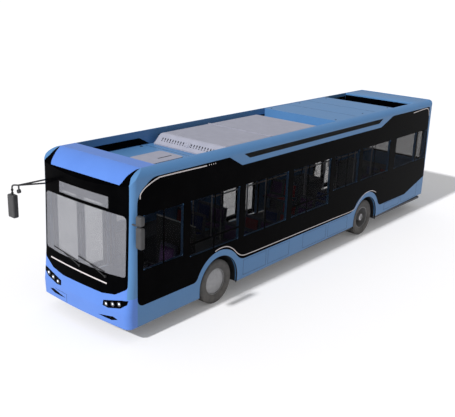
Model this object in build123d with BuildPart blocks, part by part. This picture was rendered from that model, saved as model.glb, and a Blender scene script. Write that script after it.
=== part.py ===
from build123d import *
import math
import os

os.makedirs("parts", exist_ok=True)

# Low floor city bus, front towards -Y, street side towards +X, doors on the -X side.
# Millimetres, the origin lies on the ground under the middle of the overall box.

# Overall sizes
length = 12000
width = 2550
height = 3280
wheelbase = 5950
front_overhang = 2570
mirror_reach = 500
mirror_span = 3000
front_y = (mirror_reach - length) / 2
half = width / 2

# Body shell
skin = 4
wall = 60
roof_rise = 375
cant_z = height - roof_rise
deck_thickness = 60
fairing_width = 166
fairing_wall = 25
side_start = 295
rear_corner = 120
skirt_front_z = 310
skirt_mid_z = 385
skirt_aft_z = 400
skirt_rear_z = 460
body_half = half - skin
inner_half = body_half - wall
deck_top = cant_z + deck_thickness
deck_half = body_half - fairing_width
arc_z = height - fairing_width
side_end = length - rear_corner
overrun = 200
running_gap = 8
seat_gap = 0.3

# Wheels
tyre_radius = 478
tyre_width = 275
rim_radius = 286
rim_wall = 14
wheel_recess = 75
dual_spacing = 310
arch_radius = 590
band_arch_radius = 724
spindle_radius = 40
hub_radius = 95
wheel_x = half - wheel_recess - tyre_width / 2

# Floor and wheel boxes
floor_top = 370
floor_thickness = 60
box_wall = 30
box_top = 1100
box_reach = 640
front_box_x = 520
rear_box_x = 560
floor_z = floor_top - floor_thickness

# Windows and doors
lintel_depth = 455
window_top = cant_z - lintel_depth
sill_low = 1310
sill_high = 1600
sill_driver = 1405
transom_z = 1570
bar = 36
glass = 8
window_radius = 45
door_drop = 10
sill_step = 5
door_top = window_top - door_drop
door_sill = floor_top + sill_step


def station(distance):
    """Y of a place measured back from the front face."""
    return front_y + distance


rear_axle_s = front_overhang + wheelbase
front_axle_y = station(front_overhang)
rear_axle_y = station(rear_axle_s)
axle_ys = (front_axle_y, rear_axle_y)
span_ends = (0, front_overhang, rear_axle_s, length)


def along(share):
    """Distance of a place in spans: 0 to 1 front overhang, 1 to 2 between the axles, 2 to 3 rear overhang."""
    span = min(int(share), len(span_ends) - 2)
    return span_ends[span] + (share - span) * (span_ends[span + 1] - span_ends[span])


# Doorways on the kerb side. Columns: name, start in spans, clear width.
front_door_width = 1370
middle_door_width = 1450
rear_door_width = 1170
doorway_shares = (
    ("front", 0.14008, front_door_width),
    ("middle", 1.49237, middle_door_width),
    ("rear", 2.33897, rear_door_width),
)
doorways = [(name, along(start_share), clear) for name, start_share, clear in doorway_shares]
door_pillar = 250
door_starts = [start - door_pillar for name, start, clear in doorways]
door_ends = [start + clear + door_pillar for name, start, clear in doorways]

# Window bays. Columns: start, end, sill, divider or 0, transom.
left_bay_shares = (
    (0.1714, 0.5720, sill_driver, 0.3698, False),
    (0.6500, 1.0958, sill_low, 0.9222, True),
    (1.1293, 1.3824, sill_low, 1.2487, False),
    (1.4159, 1.6773, sill_low, 1.5186, True),
    (1.7091, 1.9008, sill_high, 1.8071, False),
    (1.9320, 2.2957, sill_high, 2.0598, False),
    (2.3966, 2.7414, sill_high, 0, False),
    (2.7700, 2.9283, sill_high, 0, False),
)
left_bays = [(along(a), along(b), sill, along(c), d) for a, b, sill, c, d in left_bay_shares]
right_bays = [
    (door_ends[0], along(1.0958), sill_low, 0, True),
    (along(1.1293), door_starts[1], sill_low, along(1.2941), True),
    (door_ends[1], along(1.9008), sill_high, 0, False),
    (along(1.9320), door_starts[2], sill_high, along(2.0598), False),
    (door_ends[2], along(2.9283), sill_high, 0, False),
]


def finish_part(part, name):
    """Label one finished piece and write it."""
    part.label = name
    export_step(part, f"parts/{name}.step")


def side_offset(side, inner, thickness):
    """X of the plane that a plate on one side is extruded from, towards +X."""
    return inner if side > 0 else -(inner + thickness)


def bay_box(bay):
    """Y centre, Z centre, Y size and Z size of a window bay."""
    start, end, sill = bay[:3]
    return station((start + end) / 2), (sill + window_top) / 2, end - start, window_top - sill


def bay_cells(bay):
    """The panes of a bay between its bars, each as Y start, Y end, Z start, Z end."""
    start, end, sill, divider, transom = bay
    columns = [(start, end)]
    if divider:
        columns = [(start, divider - bar / 2), (divider + bar / 2, end)]
    rows = [(sill, window_top)]
    if transom:
        rows = [(sill, transom_z - bar / 2), (transom_z + bar / 2, window_top)]
    return [(station(a), station(b), low, high) for a, b in columns for low, high in rows]


# Front end: bowed in plan, raked in side view. Columns: height, set back as a share of the rake.
front_bow = 60
front_corner = 130
rake = 110
crease_z = 600
nose_z = 900
cowl_z = 1250
lintel_z = window_top + wall / 3
front_levels = (
    (skirt_front_z, 0.14),
    (crease_z, 0),
    (nose_z, 0.32),
    (cowl_z, 0.60),
    (lintel_z, 0.95),
    (cant_z, 1),
)


def plan_outline(level_z, setback, inset, back):
    """Face of the front end's plan at one height, with its back edge at a station."""
    side_x = body_half - inset
    nose_y = station(setback + inset)
    shoulder_y = nose_y + front_bow
    with BuildSketch(Plane.XY.offset(level_z)) as plan:
        with BuildLine():
            ThreePointArc((-side_x, shoulder_y), (0, nose_y), (side_x, shoulder_y))
            Polyline(
                (side_x, shoulder_y),
                (side_x, station(back)),
                (-side_x, station(back)),
                (-side_x, shoulder_y),
            )
        make_face()
        fillet(plan.vertices().group_by(Axis.Y)[0], front_corner - inset)
    return plan.sketch


def front_form(inset, back, extra=0):
    """Solid of the front end drawn in by an inset, lengthened up and down by extra."""
    sections = []
    for level_z, setback_share in front_levels:
        if level_z == skirt_front_z:
            level_z -= extra
        if level_z == cant_z:
            level_z += extra
        sections.append(plan_outline(level_z, setback_share * rake, inset, back))
    with BuildPart() as form:
        loft(sections=sections, ruled=True)
    return form.part


def front_view_prism(points, corner=0):
    """Solid as deep as the bus whose front view is the outline, rounded below the roof edge."""
    with BuildPart() as prism:
        with BuildSketch(Plane.XZ) as outline:
            with BuildLine():
                Polyline(*points, close=True)
            make_face()
            if corner:
                fillet(outline.vertices().filter_by(lambda v: v.Y < cant_z - seat_gap), corner)
        extrude(amount=length, both=True)
    return prism.part


def mirrored_outline(points):
    """Points of the +X half followed by the same points on the -X half."""
    return list(points) + [(-x, z) for x, z in reversed(points)]


# Black windshield surround, drawn up beside the roof cap. Columns: X share, height.
mask_half = 1200
mask_low_z = 867
mask_corner_z = 1105
mask_corner = 90
windshield_half = 1145
windshield_low_z = 1275
windshield_lift = 5
windshield_top_z = window_top + windshield_lift
windshield_corner = 60
sign_half = 700
sign_gap = 65
sign_height = 215
sign_low_z = windshield_top_z + sign_gap
sign_top_z = sign_low_z + sign_height
post_low_z = nose_z + windshield_lift
mask_shares = ((0.48, mask_low_z), (0.76, mask_low_z + wall), (1, mask_corner_z), (1, cant_z))
mask_outline = mirrored_outline([(x * mask_half, z) for x, z in mask_shares])
mask_prism = front_view_prism(mask_outline, mask_corner)
windshield_shares = ((0.60, 0), (1, 0.03), (1, 0.97), (0.94, 1))
windshield_rise = windshield_top_z - windshield_low_z
windshield_half_outline = [
    (x * windshield_half, windshield_low_z + z * windshield_rise) for x, z in windshield_shares
]
windshield_prism = front_view_prism(mirrored_outline(windshield_half_outline), windshield_corner)
sign_prism = front_view_prism(mirrored_outline([(sign_half, sign_low_z), (sign_half, sign_top_z)]))
front_outer = front_form(0, side_start)
front_inner = front_form(wall, side_start + overrun, overrun)
glass_inner = front_form(glass, side_start + overrun, overrun)
post_blocks = []
for side in (1, -1):
    post_block = Box(overrun, 2 * side_start, cant_z - post_low_z)
    block_x = side * (mask_half + overrun / 2)
    post_blocks.append(Pos(block_x, front_y, (cant_z + post_low_z) / 2) * post_block)

# Side walls: plates with window bays, arches and doorways, each with its front corner post.
window_least = 4 * window_radius
wall_bays = {1: left_bays, -1: [bay for bay in right_bays if bay[1] - bay[0] > window_least]}
for name, side, post_block in (("left", 1, post_blocks[0]), ("right", -1, post_blocks[1])):
    with BuildPart() as side_wall:
        add(front_outer)
        add(front_inner, mode=Mode.SUBTRACT)
        add(post_block, mode=Mode.INTERSECT)
        with BuildSketch(Plane.YZ.offset(side_offset(side, inner_half, wall))):
            with BuildLine():
                Polyline(
                    (station(side_start), skirt_front_z),
                    (station(side_start), cant_z),
                    (station(side_end), cant_z),
                    (station(side_end), skirt_rear_z),
                    (rear_axle_y + arch_radius, skirt_aft_z),
                    (rear_axle_y - arch_radius, skirt_mid_z),
                    close=True,
                )
            make_face()
            for axle_y in axle_ys:
                with Locations((axle_y, tyre_radius)):
                    Circle(arch_radius, mode=Mode.SUBTRACT)
                with Locations((axle_y, tyre_radius - arch_radius / 2)):
                    Rectangle(2 * arch_radius, arch_radius, mode=Mode.SUBTRACT)
            for bay in wall_bays[side]:
                y_mid, z_mid, y_size, z_size = bay_box(bay)
                with Locations((y_mid, z_mid)):
                    RectangleRounded(y_size, z_size, window_radius, mode=Mode.SUBTRACT)
            if side < 0:
                for door_name, start, clear in doorways:
                    door_mid = station(start + clear / 2)
                    with Locations((door_mid, (door_sill + door_top) / 2)):
                        Rectangle(clear, door_top - door_sill, mode=Mode.SUBTRACT)
        extrude(amount=wall)
    finish_part(side_wall.part, f"side_wall_{name}")

# Black glazing bands: a skin on each wall, raised over the front and the rear bays.
band_top_z = arc_z
band_mid_z = cant_z - skin * 5
band_front_z = 710
band_waist_z = 800
band_rear_z = 685
band_kick_z = 1010
band_kink_z = 1206
band_corner_z = band_top_z - 264
band_rear_in = 115
band_crown_share = 0.2615
band_raise_front_share = 1.0340
band_drop_front_share = 1.1031
band_drop_rear_share = 2.1228
band_raise_rear_share = 2.3000
band_kick_share = 2.6368
band_round_front = 150
band_round_waist = 380
band_round_rear = 200
band_round_top = 60
band_round_crown = 380


def corners_at(sketch, level):
    """Corners of a side view sketch that lie at one height."""
    return sketch.vertices().filter_by(lambda v: abs(v.Y - level) < seat_gap)


with BuildPart() as bands:
    for side in (1, -1):
        with BuildSketch(Plane.YZ.offset(side_offset(side, body_half, skin))) as band:
            with BuildLine():
                Polyline(
                    (station(side_start), band_front_z),
                    (station(side_start), band_corner_z),
                    (station(along(band_crown_share)), band_top_z),
                    (station(along(band_raise_front_share)), band_top_z),
                    (station(along(band_drop_front_share)), band_mid_z),
                    (station(along(band_drop_rear_share)), band_mid_z),
                    (station(along(band_raise_rear_share)), band_top_z),
                    (station(side_end - band_rear_in), band_top_z),
                    (station(side_end), band_kink_z),
                    (station(side_end), band_kick_z),
                    (station(along(band_kick_share)), band_rear_z),
                    (rear_axle_y, band_rear_z),
                    (rear_axle_y, band_waist_z),
                    (front_axle_y, band_waist_z),
                    (front_axle_y, band_front_z),
                    close=True,
                )
            make_face()
            for axle_y in axle_ys:
                with Locations((axle_y, tyre_radius)):
                    Circle(band_arch_radius, mode=Mode.SUBTRACT)
            crown = corners_at(band, band_corner_z) + corners_at(band, band_top_z).sort_by(Axis.X)[:1]
            fillet(crown, band_round_crown)
            fillet(corners_at(band, band_top_z).sort_by(Axis.X)[1:], band_round_top)
            fillet(corners_at(band, band_mid_z), band_round_top)
            fillet(corners_at(band, band_front_z), band_round_front)
            fillet(corners_at(band, band_waist_z), band_round_waist)
            fillet(corners_at(band, band_rear_z), band_round_rear)
            for bay in wall_bays[side]:
                for y_start, y_end, z_start, z_end in bay_cells(bay):
                    with Locations(((y_start + y_end) / 2, (z_start + z_end) / 2)):
                        RectangleRounded(
                            y_end - y_start, z_end - z_start, window_radius / 3, mode=Mode.SUBTRACT
                        )
            if side < 0:
                for door_name, start, clear in doorways:
                    door_mid = station(start + clear / 2)
                    with Locations((door_mid, (door_sill + door_top) / 2)):
                        Rectangle(clear, door_top - door_sill, mode=Mode.SUBTRACT)
        extrude(amount=skin)
finish_part(bands.part, "glazing_bands")

# Side windows: one bonded pane in each bay, close behind the black band.
with BuildPart() as side_windows:
    for side in (1, -1):
        with BuildSketch(Plane.YZ.offset(side_offset(side, body_half - glass, glass))):
            for bay in wall_bays[side]:
                y_mid, z_mid, y_size, z_size = bay_box(bay)
                with Locations((y_mid, z_mid)):
                    RectangleRounded(y_size, z_size, window_radius)
        extrude(amount=glass)
finish_part(side_windows.part, "side_windows")

# Lamp clusters on the front corners. Columns: X as a share of the half width, height share of the nose.
lamp_shares = (
    (0.485, 0.711),
    (0.600, 0.697),
    (0.840, 0.783),
    (0.950, 0.898),
    (0.962, 0.985),
    (0.860, 0.962),
    (0.490, 0.824),
)
fog_shares = ((0.386, 0.459), (0.530, 0.449), (0.668, 0.448), (0.790, 0.508), (0.695, 0.543))
lamp_prisms = []
for side in (1, -1):
    for outline_shares in (lamp_shares, fog_shares):
        lamp_prisms.append(front_view_prism([(side * x * half, z * nose_z) for x, z in outline_shares]))

with BuildPart() as fascia:
    add(front_outer)
    add(front_inner, mode=Mode.SUBTRACT)
    add(mask_prism, mode=Mode.SUBTRACT)
    for prism in lamp_prisms + post_blocks:
        add(prism, mode=Mode.SUBTRACT)
finish_part(fascia.part, "front_fascia")

with BuildPart() as openings:
    add(windshield_prism)
    add(sign_prism)
with BuildPart() as windshield:
    add(front_outer)
    add(glass_inner, mode=Mode.SUBTRACT)
    add(openings.part, mode=Mode.INTERSECT)
finish_part(windshield.part, "windshield")

# Lamp housings fill their cut-outs, three round lenses a side stand a little proud.
lens_radius = 44
lens_proud = 12
lens_depth = 40
lens_shares = ((0.560, 0.772), (0.690, 0.817), (0.815, 0.867))


def nose_station(x, level_z):
    """Distance of the front surface behind the foremost plane at one place."""
    heights = [level for level, share in front_levels]
    index = max(i for i, level in enumerate(heights[:-1]) if level <= level_z)
    low_z, low_share = front_levels[index]
    high_z, high_share = front_levels[index + 1]
    share = low_share + (high_share - low_share) * (level_z - low_z) / (high_z - low_z)
    return share * rake + front_bow * (x / body_half) ** 2


with BuildPart() as lenses:
    for side in (1, -1):
        for x_share, z_share in lens_shares:
            lens_x = side * x_share * half
            lens_z = z_share * nose_z
            lens_y = station(nose_station(lens_x, lens_z) - lens_proud)
            with BuildSketch(Plane((lens_x, lens_y, lens_z), x_dir=(1, 0, 0), z_dir=(0, 1, 0))):
                Circle(lens_radius)
            extrude(amount=lens_depth)
    fillet(lenses.edges().filter_by(GeomType.CIRCLE).group_by(Axis.Y)[0], lens_proud / 2)
lamp_union = lamp_prisms[0] + lamp_prisms[1] + lamp_prisms[2] + lamp_prisms[3]
with BuildPart() as headlamps:
    add(front_outer)
    add(front_inner, mode=Mode.SUBTRACT)
    add(lamp_union, mode=Mode.INTERSECT)
    add(lenses.part, mode=Mode.SUBTRACT)
finish_part(headlamps.part, "headlamps")
finish_part(lenses.part, "headlamp_lenses")

# Front roof cap: side profile, cross section and plan meet in one moulded shell.
cap_end = 870
cap_crown_share = 0.25
cap_crown_rise_share = 0.70


def section_prism(inset):
    """Solid as long as the bus with the body's cross section above the walls' foot."""
    top = height - inset
    side_x = body_half - inset
    corner = fairing_width - inset
    with BuildPart() as prism:
        with BuildSketch(Plane.XZ):
            with BuildLine():
                Polyline((-side_x, arc_z), (-side_x, -overrun), (side_x, -overrun), (side_x, arc_z))
                RadiusArc((side_x, arc_z), (side_x - corner, top), -corner)
                Line((side_x - corner, top), (corner - side_x, top))
                RadiusArc((corner - side_x, top), (-side_x, arc_z), -corner)
            make_face()
        extrude(amount=length, both=True)
    return prism.part


def cap_form(inset, back):
    """Solid of the roof cap drawn in by an inset, carried down below its foot."""
    top = height - inset
    nose = rake + inset
    rise = top - cant_z
    plan = plan_outline(cant_z - overrun, rake, inset, back)
    crown = (station(nose + (back - nose) * cap_crown_share), cant_z + rise * cap_crown_rise_share)
    section = section_prism(inset)
    with BuildPart() as form:
        extrude(plan, amount=rise + overrun, dir=(0, 0, 1))
        add(section, mode=Mode.INTERSECT)
        with BuildSketch(Plane.YZ):
            with BuildLine():
                ThreePointArc((station(nose), cant_z), crown, (station(back), top))
                Polyline(
                    (station(back), top),
                    (station(back), cant_z - overrun),
                    (station(nose), cant_z - overrun),
                    (station(nose), cant_z),
                )
            make_face()
        extrude(amount=width, both=True, mode=Mode.INTERSECT)
    return form.part


# Front view of the cap's edge and of the sweep outside the black tongue. Columns: X and height shares.
cap_edge_shares = ((0.805, 0.25), (0.833, 0.39), (0.858, 0.68), (0.905, 0.93), (0.94, 0.985), (0.935, 1.1))
sweep_edge_shares = ((1, 0), (1, 0.25), (0.992, 0.41), (0.95, 0.63), (0.94, 0.985), (0.935, 1.1))


def roof_edge_prism(edge_shares):
    """Solid as deep as the bus inside an edge line of the front roof."""
    return front_view_prism(
        mirrored_outline([(x * mask_half, cant_z + z * roof_rise) for x, z in edge_shares])
    )


cap_outer = cap_form(0, cap_end)
cap_inner = cap_form(fairing_wall, cap_end - fairing_wall)
cap_edge = roof_edge_prism(cap_edge_shares)
sweep_edge = roof_edge_prism(sweep_edge_shares)
with BuildPart() as cap_shell:
    add(cap_outer)
    add(cap_inner, mode=Mode.SUBTRACT)
    split(bisect_by=Plane.XY.offset(cant_z), keep=Keep.TOP)
    with Locations((0, station(cap_end), cant_z + deck_thickness / 2)):
        Box(2 * (body_half - fairing_wall), 2 * fairing_wall, deck_thickness, mode=Mode.SUBTRACT)
with BuildPart() as cap_zone:
    add(cap_edge)
    with Locations((0, station(cap_end), cant_z + roof_rise / 2)):
        Box(2 * deck_half, 2 * fairing_wall, roof_rise)
with BuildPart() as cap:
    add(cap_shell.part)
    add(cap_zone.part, mode=Mode.INTERSECT)
finish_part(cap.part, "front_roof_cap")

with BuildPart() as mask_tongues:
    add(cap_shell.part)
    add(sweep_edge, mode=Mode.INTERSECT)
    add(cap_zone.part, mode=Mode.SUBTRACT)
with BuildPart() as mask:
    add(front_outer)
    add(front_inner, mode=Mode.SUBTRACT)
    add(mask_prism, mode=Mode.INTERSECT)
    add(windshield_prism, mode=Mode.SUBTRACT)
    add(sign_prism, mode=Mode.SUBTRACT)
    add(mask_tongues.part)
finish_part(mask.part, "windshield_mask")

with BuildPart() as corner_sweeps:
    add(cap_shell.part)
    add(sweep_edge, mode=Mode.SUBTRACT)
    add(cap_zone.part, mode=Mode.SUBTRACT)

# Roof side fairings: hollow rails on the wall tops with a long intake slot.
slot_start_share = 1.1437
slot_end_share = 2.0874
slot_flare = 190
slot_lift = 95
slot_low_z = cant_z + slot_lift
slot_high_z = arc_z - skin
slot_height = slot_high_z - slot_low_z
slot_start_y = station(along(slot_start_share))
slot_end_y = station(along(slot_end_share))
slot_mid_y = (slot_start_y + slot_end_y) / 2
slot_length = slot_end_y - slot_start_y + 2 * slot_flare


def slot_prism(inset):
    """Solid through both sides with the slot's outline, drawn in by an inset."""
    with BuildPart() as prism:
        with BuildSketch(Plane.YZ):
            with BuildLine():
                Polyline(
                    (slot_start_y, slot_low_z),
                    (slot_end_y, slot_low_z),
                    (slot_end_y + slot_flare, slot_high_z),
                    (slot_start_y - slot_flare, slot_high_z),
                    close=True,
                )
            make_face()
            if inset:
                offset(amount=-inset, mode=Mode.REPLACE)
        extrude(amount=width, both=True)
    return prism.part


with BuildPart() as slot_cut:
    with GridLocations(2 * body_half, overrun, 2, 1):
        Box(fairing_wall * 2, 2 * length, 2 * height)
    add(slot_prism(0), mode=Mode.INTERSECT)
with BuildPart() as fairings:
    for side in (1, -1):
        with BuildSketch(Plane.XZ.offset(-station(cap_end))):
            with BuildLine():
                Polyline(
                    (side * deck_half, height),
                    (side * deck_half, cant_z),
                    (side * body_half, cant_z),
                    (side * body_half, arc_z),
                )
                RadiusArc((side * body_half, arc_z), (side * deck_half, height), -side * fairing_width)
            make_face()
        extrude(amount=-(side_end - cap_end))
        with BuildSketch(Plane.XZ.offset(-station(cap_end))):
            with BuildLine():
                inner_x = side * (body_half - fairing_wall)
                edge_x = side * (deck_half + fairing_wall)
                inner_top = height - fairing_wall
                Polyline(
                    (edge_x, inner_top - skin),
                    (edge_x, cant_z + fairing_wall),
                    (inner_x, cant_z + fairing_wall),
                    (inner_x, arc_z),
                )
                RadiusArc((inner_x, arc_z), (edge_x, inner_top - skin), -side * fairing_width)
            make_face()
        extrude(amount=-(side_end - cap_end), mode=Mode.SUBTRACT)
    add(slot_cut.part, mode=Mode.SUBTRACT)
    add(corner_sweeps.part)
finish_part(fairings.part, "roof_fairings")

# Intake grilles in the slots: a frame with slanting louvres.
louvre_count = 4
louvre_wall = 5
louvre_tilt = 30
grille_depth = fairing_wall - skin
grille_x = body_half - fairing_wall + grille_depth / 2
louvre_pitch = slot_height / (louvre_count + 1)
with BuildPart() as grille_field:
    with GridLocations(2 * grille_x, overrun, 2, 1):
        Box(grille_depth, 2 * length, 2 * height)
    add(slot_prism(0), mode=Mode.INTERSECT)
with BuildPart() as grille_frame:
    add(grille_field.part)
    add(slot_prism(louvre_wall), mode=Mode.SUBTRACT)
with BuildPart() as grilles:
    for side in (1, -1):
        for louvre in range(louvre_count):
            louvre_z = slot_low_z + (louvre + 1) * louvre_pitch
            with Locations((side * grille_x, slot_mid_y, louvre_z)):
                Box(grille_depth, slot_length, louvre_wall, rotation=(0, side * louvre_tilt, 0))
    add(grille_field.part, mode=Mode.INTERSECT)
    add(grille_frame.part)
    with Locations((0, slot_mid_y, (slot_low_z + slot_high_z) / 2)):
        with GridLocations(2 * (body_half - fairing_wall) - louvre_wall, overrun, 2, 1):
            Box(louvre_wall, slot_length, slot_height)
finish_part(grilles.part, "fairing_grilles")

# Roof deck, with the curb of the escape hatch.
hatch_width = 640
hatch_length = 850
hatch_mid = 2000
hatch_y = station(hatch_mid)
curb_height = 40
curb_wall = 30
with BuildPart() as deck_nose:
    add(cap_inner)
    split(bisect_by=Plane.XY.offset(cant_z), keep=Keep.TOP)
    split(bisect_by=Plane.XY.offset(deck_top), keep=Keep.BOTTOM)
with BuildPart() as deck:
    add(deck_nose.part)
    with Locations((0, station(cap_end - overrun / 2), cant_z + deck_thickness / 2)):
        Box(2 * (body_half - fairing_wall), overrun, deck_thickness)
    with Locations((0, (station(cap_end) + station(length - wall)) / 2, cant_z + deck_thickness / 2)):
        Box(2 * deck_half, length - wall - cap_end, deck_thickness)
    with BuildSketch(Plane.XY.offset(deck_top)):
        with Locations((0, hatch_y)):
            RectangleRounded(hatch_width, hatch_length, curb_wall * 2)
    extrude(amount=curb_height)
    with BuildSketch(Plane.XY.offset(cant_z)):
        with Locations((0, hatch_y)):
            RectangleRounded(hatch_width - 2 * curb_wall, hatch_length - 2 * curb_wall, curb_wall)
    extrude(amount=deck_thickness + curb_height, mode=Mode.SUBTRACT)
finish_part(deck.part, "roof_deck")

# Escape hatch lid: a crowned lid that overhangs its curb, hinged at the front.
lid_wall = 12
lid_overhang = 24
lid_skirt = 26
grip_x = 110
grip_width = 40
grip_length = 400
grip_in = 130
lid_z = deck_top + curb_height + seat_gap
with BuildPart() as hatch_lid:
    with BuildSketch(Plane.XY.offset(lid_z - lid_skirt)):
        with Locations((0, hatch_y)):
            RectangleRounded(
                hatch_width + 2 * lid_overhang, hatch_length + 2 * lid_overhang, curb_wall * 2 + lid_overhang
            )
    extrude(amount=lid_skirt + lid_wall)
    fillet(hatch_lid.faces().sort_by(Axis.Z)[-1].edges(), lid_wall / 2)
    with BuildSketch(Plane.XY.offset(lid_z - lid_skirt)):
        with Locations((0, hatch_y)):
            RectangleRounded(hatch_width + lid_overhang, hatch_length + lid_overhang, curb_wall * 2)
    extrude(amount=lid_skirt, mode=Mode.SUBTRACT)
    with Locations((grip_x, hatch_y + grip_in, lid_z + lid_wall)):
        Box(grip_width, grip_length, lid_wall, mode=Mode.SUBTRACT)
finish_part(hatch_lid.part, "roof_hatch_lid")

# Air conditioning unit: a rounded hood with a slotted front and side vents.
unit_start = 2900
unit_end = 6500
unit_half = 1000
unit_drop = 65
unit_top = height - unit_drop
unit_wall = 20
unit_corner = 90
unit_lean = 60
unit_slope = 160
unit_rake = 45
nose_slots = 22
slot_width = 30
vent_count = 9
vent_length = 120
vent_height = 55
unit_length = unit_end - unit_start
unit_rise = unit_top - deck_top
with BuildPart() as ac_unit:
    with BuildSketch(Plane.YZ) as unit_side:
        with BuildLine():
            Polyline(
                (station(unit_start), deck_top),
                (station(unit_start), deck_top + unit_wall),
                (station(unit_start + unit_slope), unit_top),
                (station(unit_end - unit_slope / 2), unit_top),
                (station(unit_end), deck_top + unit_wall),
                (station(unit_end), deck_top),
                close=True,
            )
        make_face()
    extrude(amount=unit_half, both=True)
    with BuildSketch(Plane.XZ):
        with BuildLine():
            Polyline(
                (-unit_half, deck_top),
                (-unit_half, deck_top + unit_wall),
                (unit_lean - unit_half, unit_top),
                (unit_half - unit_lean, unit_top),
                (unit_half, deck_top + unit_wall),
                (unit_half, deck_top),
                close=True,
            )
        make_face()
    extrude(amount=length, both=True, mode=Mode.INTERSECT)
    fillet(ac_unit.faces().sort_by(Axis.Z)[-1].edges(), unit_corner)
    with Locations((0, station((unit_start + unit_end) / 2), deck_top + (unit_rise - unit_corner) / 2)):
        Box(
            2 * (unit_half - unit_lean - unit_wall),
            unit_length - 2 * (unit_slope + unit_wall),
            unit_rise - unit_corner,
            mode=Mode.SUBTRACT,
        )
    slot_pitch = 2 * (unit_half - unit_lean - unit_corner) / nose_slots
    for nose_slot in range(nose_slots):
        slot_x = (nose_slot + 0.5 - nose_slots / 2) * slot_pitch
        with Locations((slot_x, station(unit_start + unit_slope / 2), unit_top - unit_rise / 2)):
            Box(slot_width, unit_slope, unit_rise / 3, rotation=(-unit_rake, 0, 0), mode=Mode.SUBTRACT)
    for vent in range(vent_count):
        vent_y = station(unit_start + unit_slope + (vent + 0.5) * unit_length / 2 / vent_count)
        for side in (1, -1):
            with Locations((side * (unit_half - unit_lean / 2), vent_y, deck_top + unit_rise / 3)):
                Box(unit_wall * 2, vent_length, vent_height, mode=Mode.SUBTRACT)
finish_part(ac_unit.part, "ac_unit")

# Raised battery cover between the fairings: a flush, plain hood.
cover_start = 7000
cover_end = 9850
cover_wall = 20
cover_drop = 6
cover_mid_y = station((cover_start + cover_end) / 2)
cover_length = cover_end - cover_start
cover_rise = height - cover_drop - deck_top
with BuildPart() as roof_cover:
    with Locations((0, cover_mid_y, deck_top + cover_rise / 2)):
        Box(2 * deck_half, cover_length, cover_rise)
    with Locations((0, cover_mid_y, deck_top + (cover_rise - cover_wall) / 2)):
        Box(
            2 * (deck_half - cover_wall),
            cover_length - 2 * cover_wall,
            cover_rise - cover_wall,
            mode=Mode.SUBTRACT,
        )
finish_part(roof_cover.part, "roof_cover")

# Rear wall: a rounded U in plan, with a window and the opening of the drive bay lid.
rear_window_half = 1080
rear_window_low = 1480
rear_window_drop = 90
rear_window_top = window_top - rear_window_drop
lid_half = 880
lid_low_z = 640
lid_high_z = 1340
tail_lamp_x = 1120
tail_lamp_half = 55
tail_lamp_low = 1000
tail_lamp_high = 1420


def rear_outline(inset, front):
    """Plan face of the rear end from a station to the back, drawn in by an inset."""
    with BuildSketch(Plane.XY.offset(skirt_rear_z)) as plan:
        with Locations((0, (station(front) + station(length - inset)) / 2)):
            Rectangle(2 * (body_half - inset), length - inset - front)
        fillet(plan.vertices().group_by(Axis.Y)[-1], rear_corner - inset)
    return plan.sketch


rear_outer_plan = rear_outline(0, side_end - overrun)
rear_inner_plan = rear_outline(wall, side_end - 2 * overrun)
rear_section = section_prism(0)
rear_glass_box = front_view_prism(
    mirrored_outline([(rear_window_half, rear_window_low), (rear_window_half, rear_window_top)])
)
with BuildPart() as rear_wall:
    extrude(rear_outer_plan, amount=height - skirt_rear_z, dir=(0, 0, 1))
    extrude(rear_inner_plan, amount=height - skirt_rear_z, dir=(0, 0, 1), mode=Mode.SUBTRACT)
    add(rear_section, mode=Mode.INTERSECT)
    split(bisect_by=Plane.XZ.offset(-station(side_end)), keep=Keep.BOTTOM)
    add(rear_glass_box, mode=Mode.SUBTRACT)
    with Locations((0, station(length), (lid_low_z + lid_high_z) / 2)):
        Box(2 * lid_half, 2 * overrun, lid_high_z - lid_low_z, mode=Mode.SUBTRACT)
    for side in (1, -1):
        with Locations((side * tail_lamp_x, station(length), (tail_lamp_low + tail_lamp_high) / 2)):
            Box(2 * tail_lamp_half, wall, tail_lamp_high - tail_lamp_low, mode=Mode.SUBTRACT)
finish_part(rear_wall.part, "rear_wall")

# Rear window and the drive bay lid, hinged along its top edge.
lid_plate = 40
with BuildPart() as rear_window:
    with Locations((0, station(length) - glass / 2, (rear_window_low + rear_window_top) / 2)):
        Box(2 * rear_window_half, glass, rear_window_top - rear_window_low)
finish_part(rear_window.part, "rear_window")

lid_height = lid_high_z - lid_low_z - 2 * running_gap
lid_mid_z = (lid_low_z + lid_high_z) / 2
lid_louvres = 7
hinge_width = 90
hinge_depth = 10
with BuildPart() as rear_lid:
    with Locations((0, station(length) - lid_plate / 2, lid_mid_z)):
        Box(2 * (lid_half - running_gap), lid_plate, lid_height)
    fillet(rear_lid.edges().filter_by(Axis.Y), cover_wall)
    with Locations((0, station(length) - hinge_depth / 2, lid_high_z - (running_gap + seat_gap) / 2)):
        with GridLocations(lid_half, hinge_width, 2, 1):
            Box(hinge_width, hinge_depth, running_gap - seat_gap)
    for louvre in range(lid_louvres):
        with Locations((0, station(length), lid_low_z + (louvre + 1) * lid_height / 2 / lid_louvres)):
            Box(lid_half, lid_plate / 2, louvre_wall * 4, rotation=(louvre_tilt, 0, 0), mode=Mode.SUBTRACT)
finish_part(rear_lid.part, "rear_lid")

# Tail lamps: upright clusters set in the rear corners.
with BuildPart() as tail_lamps:
    for side in (1, -1):
        with Locations((side * tail_lamp_x, station(length) - wall / 4, (tail_lamp_low + tail_lamp_high) / 2)):
            Box(2 * tail_lamp_half, wall / 2, tail_lamp_high - tail_lamp_low)
    fillet(tail_lamps.faces().sort_by(Axis.Y)[-2:].edges().filter_by(Axis.Z), fairing_wall / 2)
finish_part(tail_lamps.part, "tail_lamps")
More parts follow.
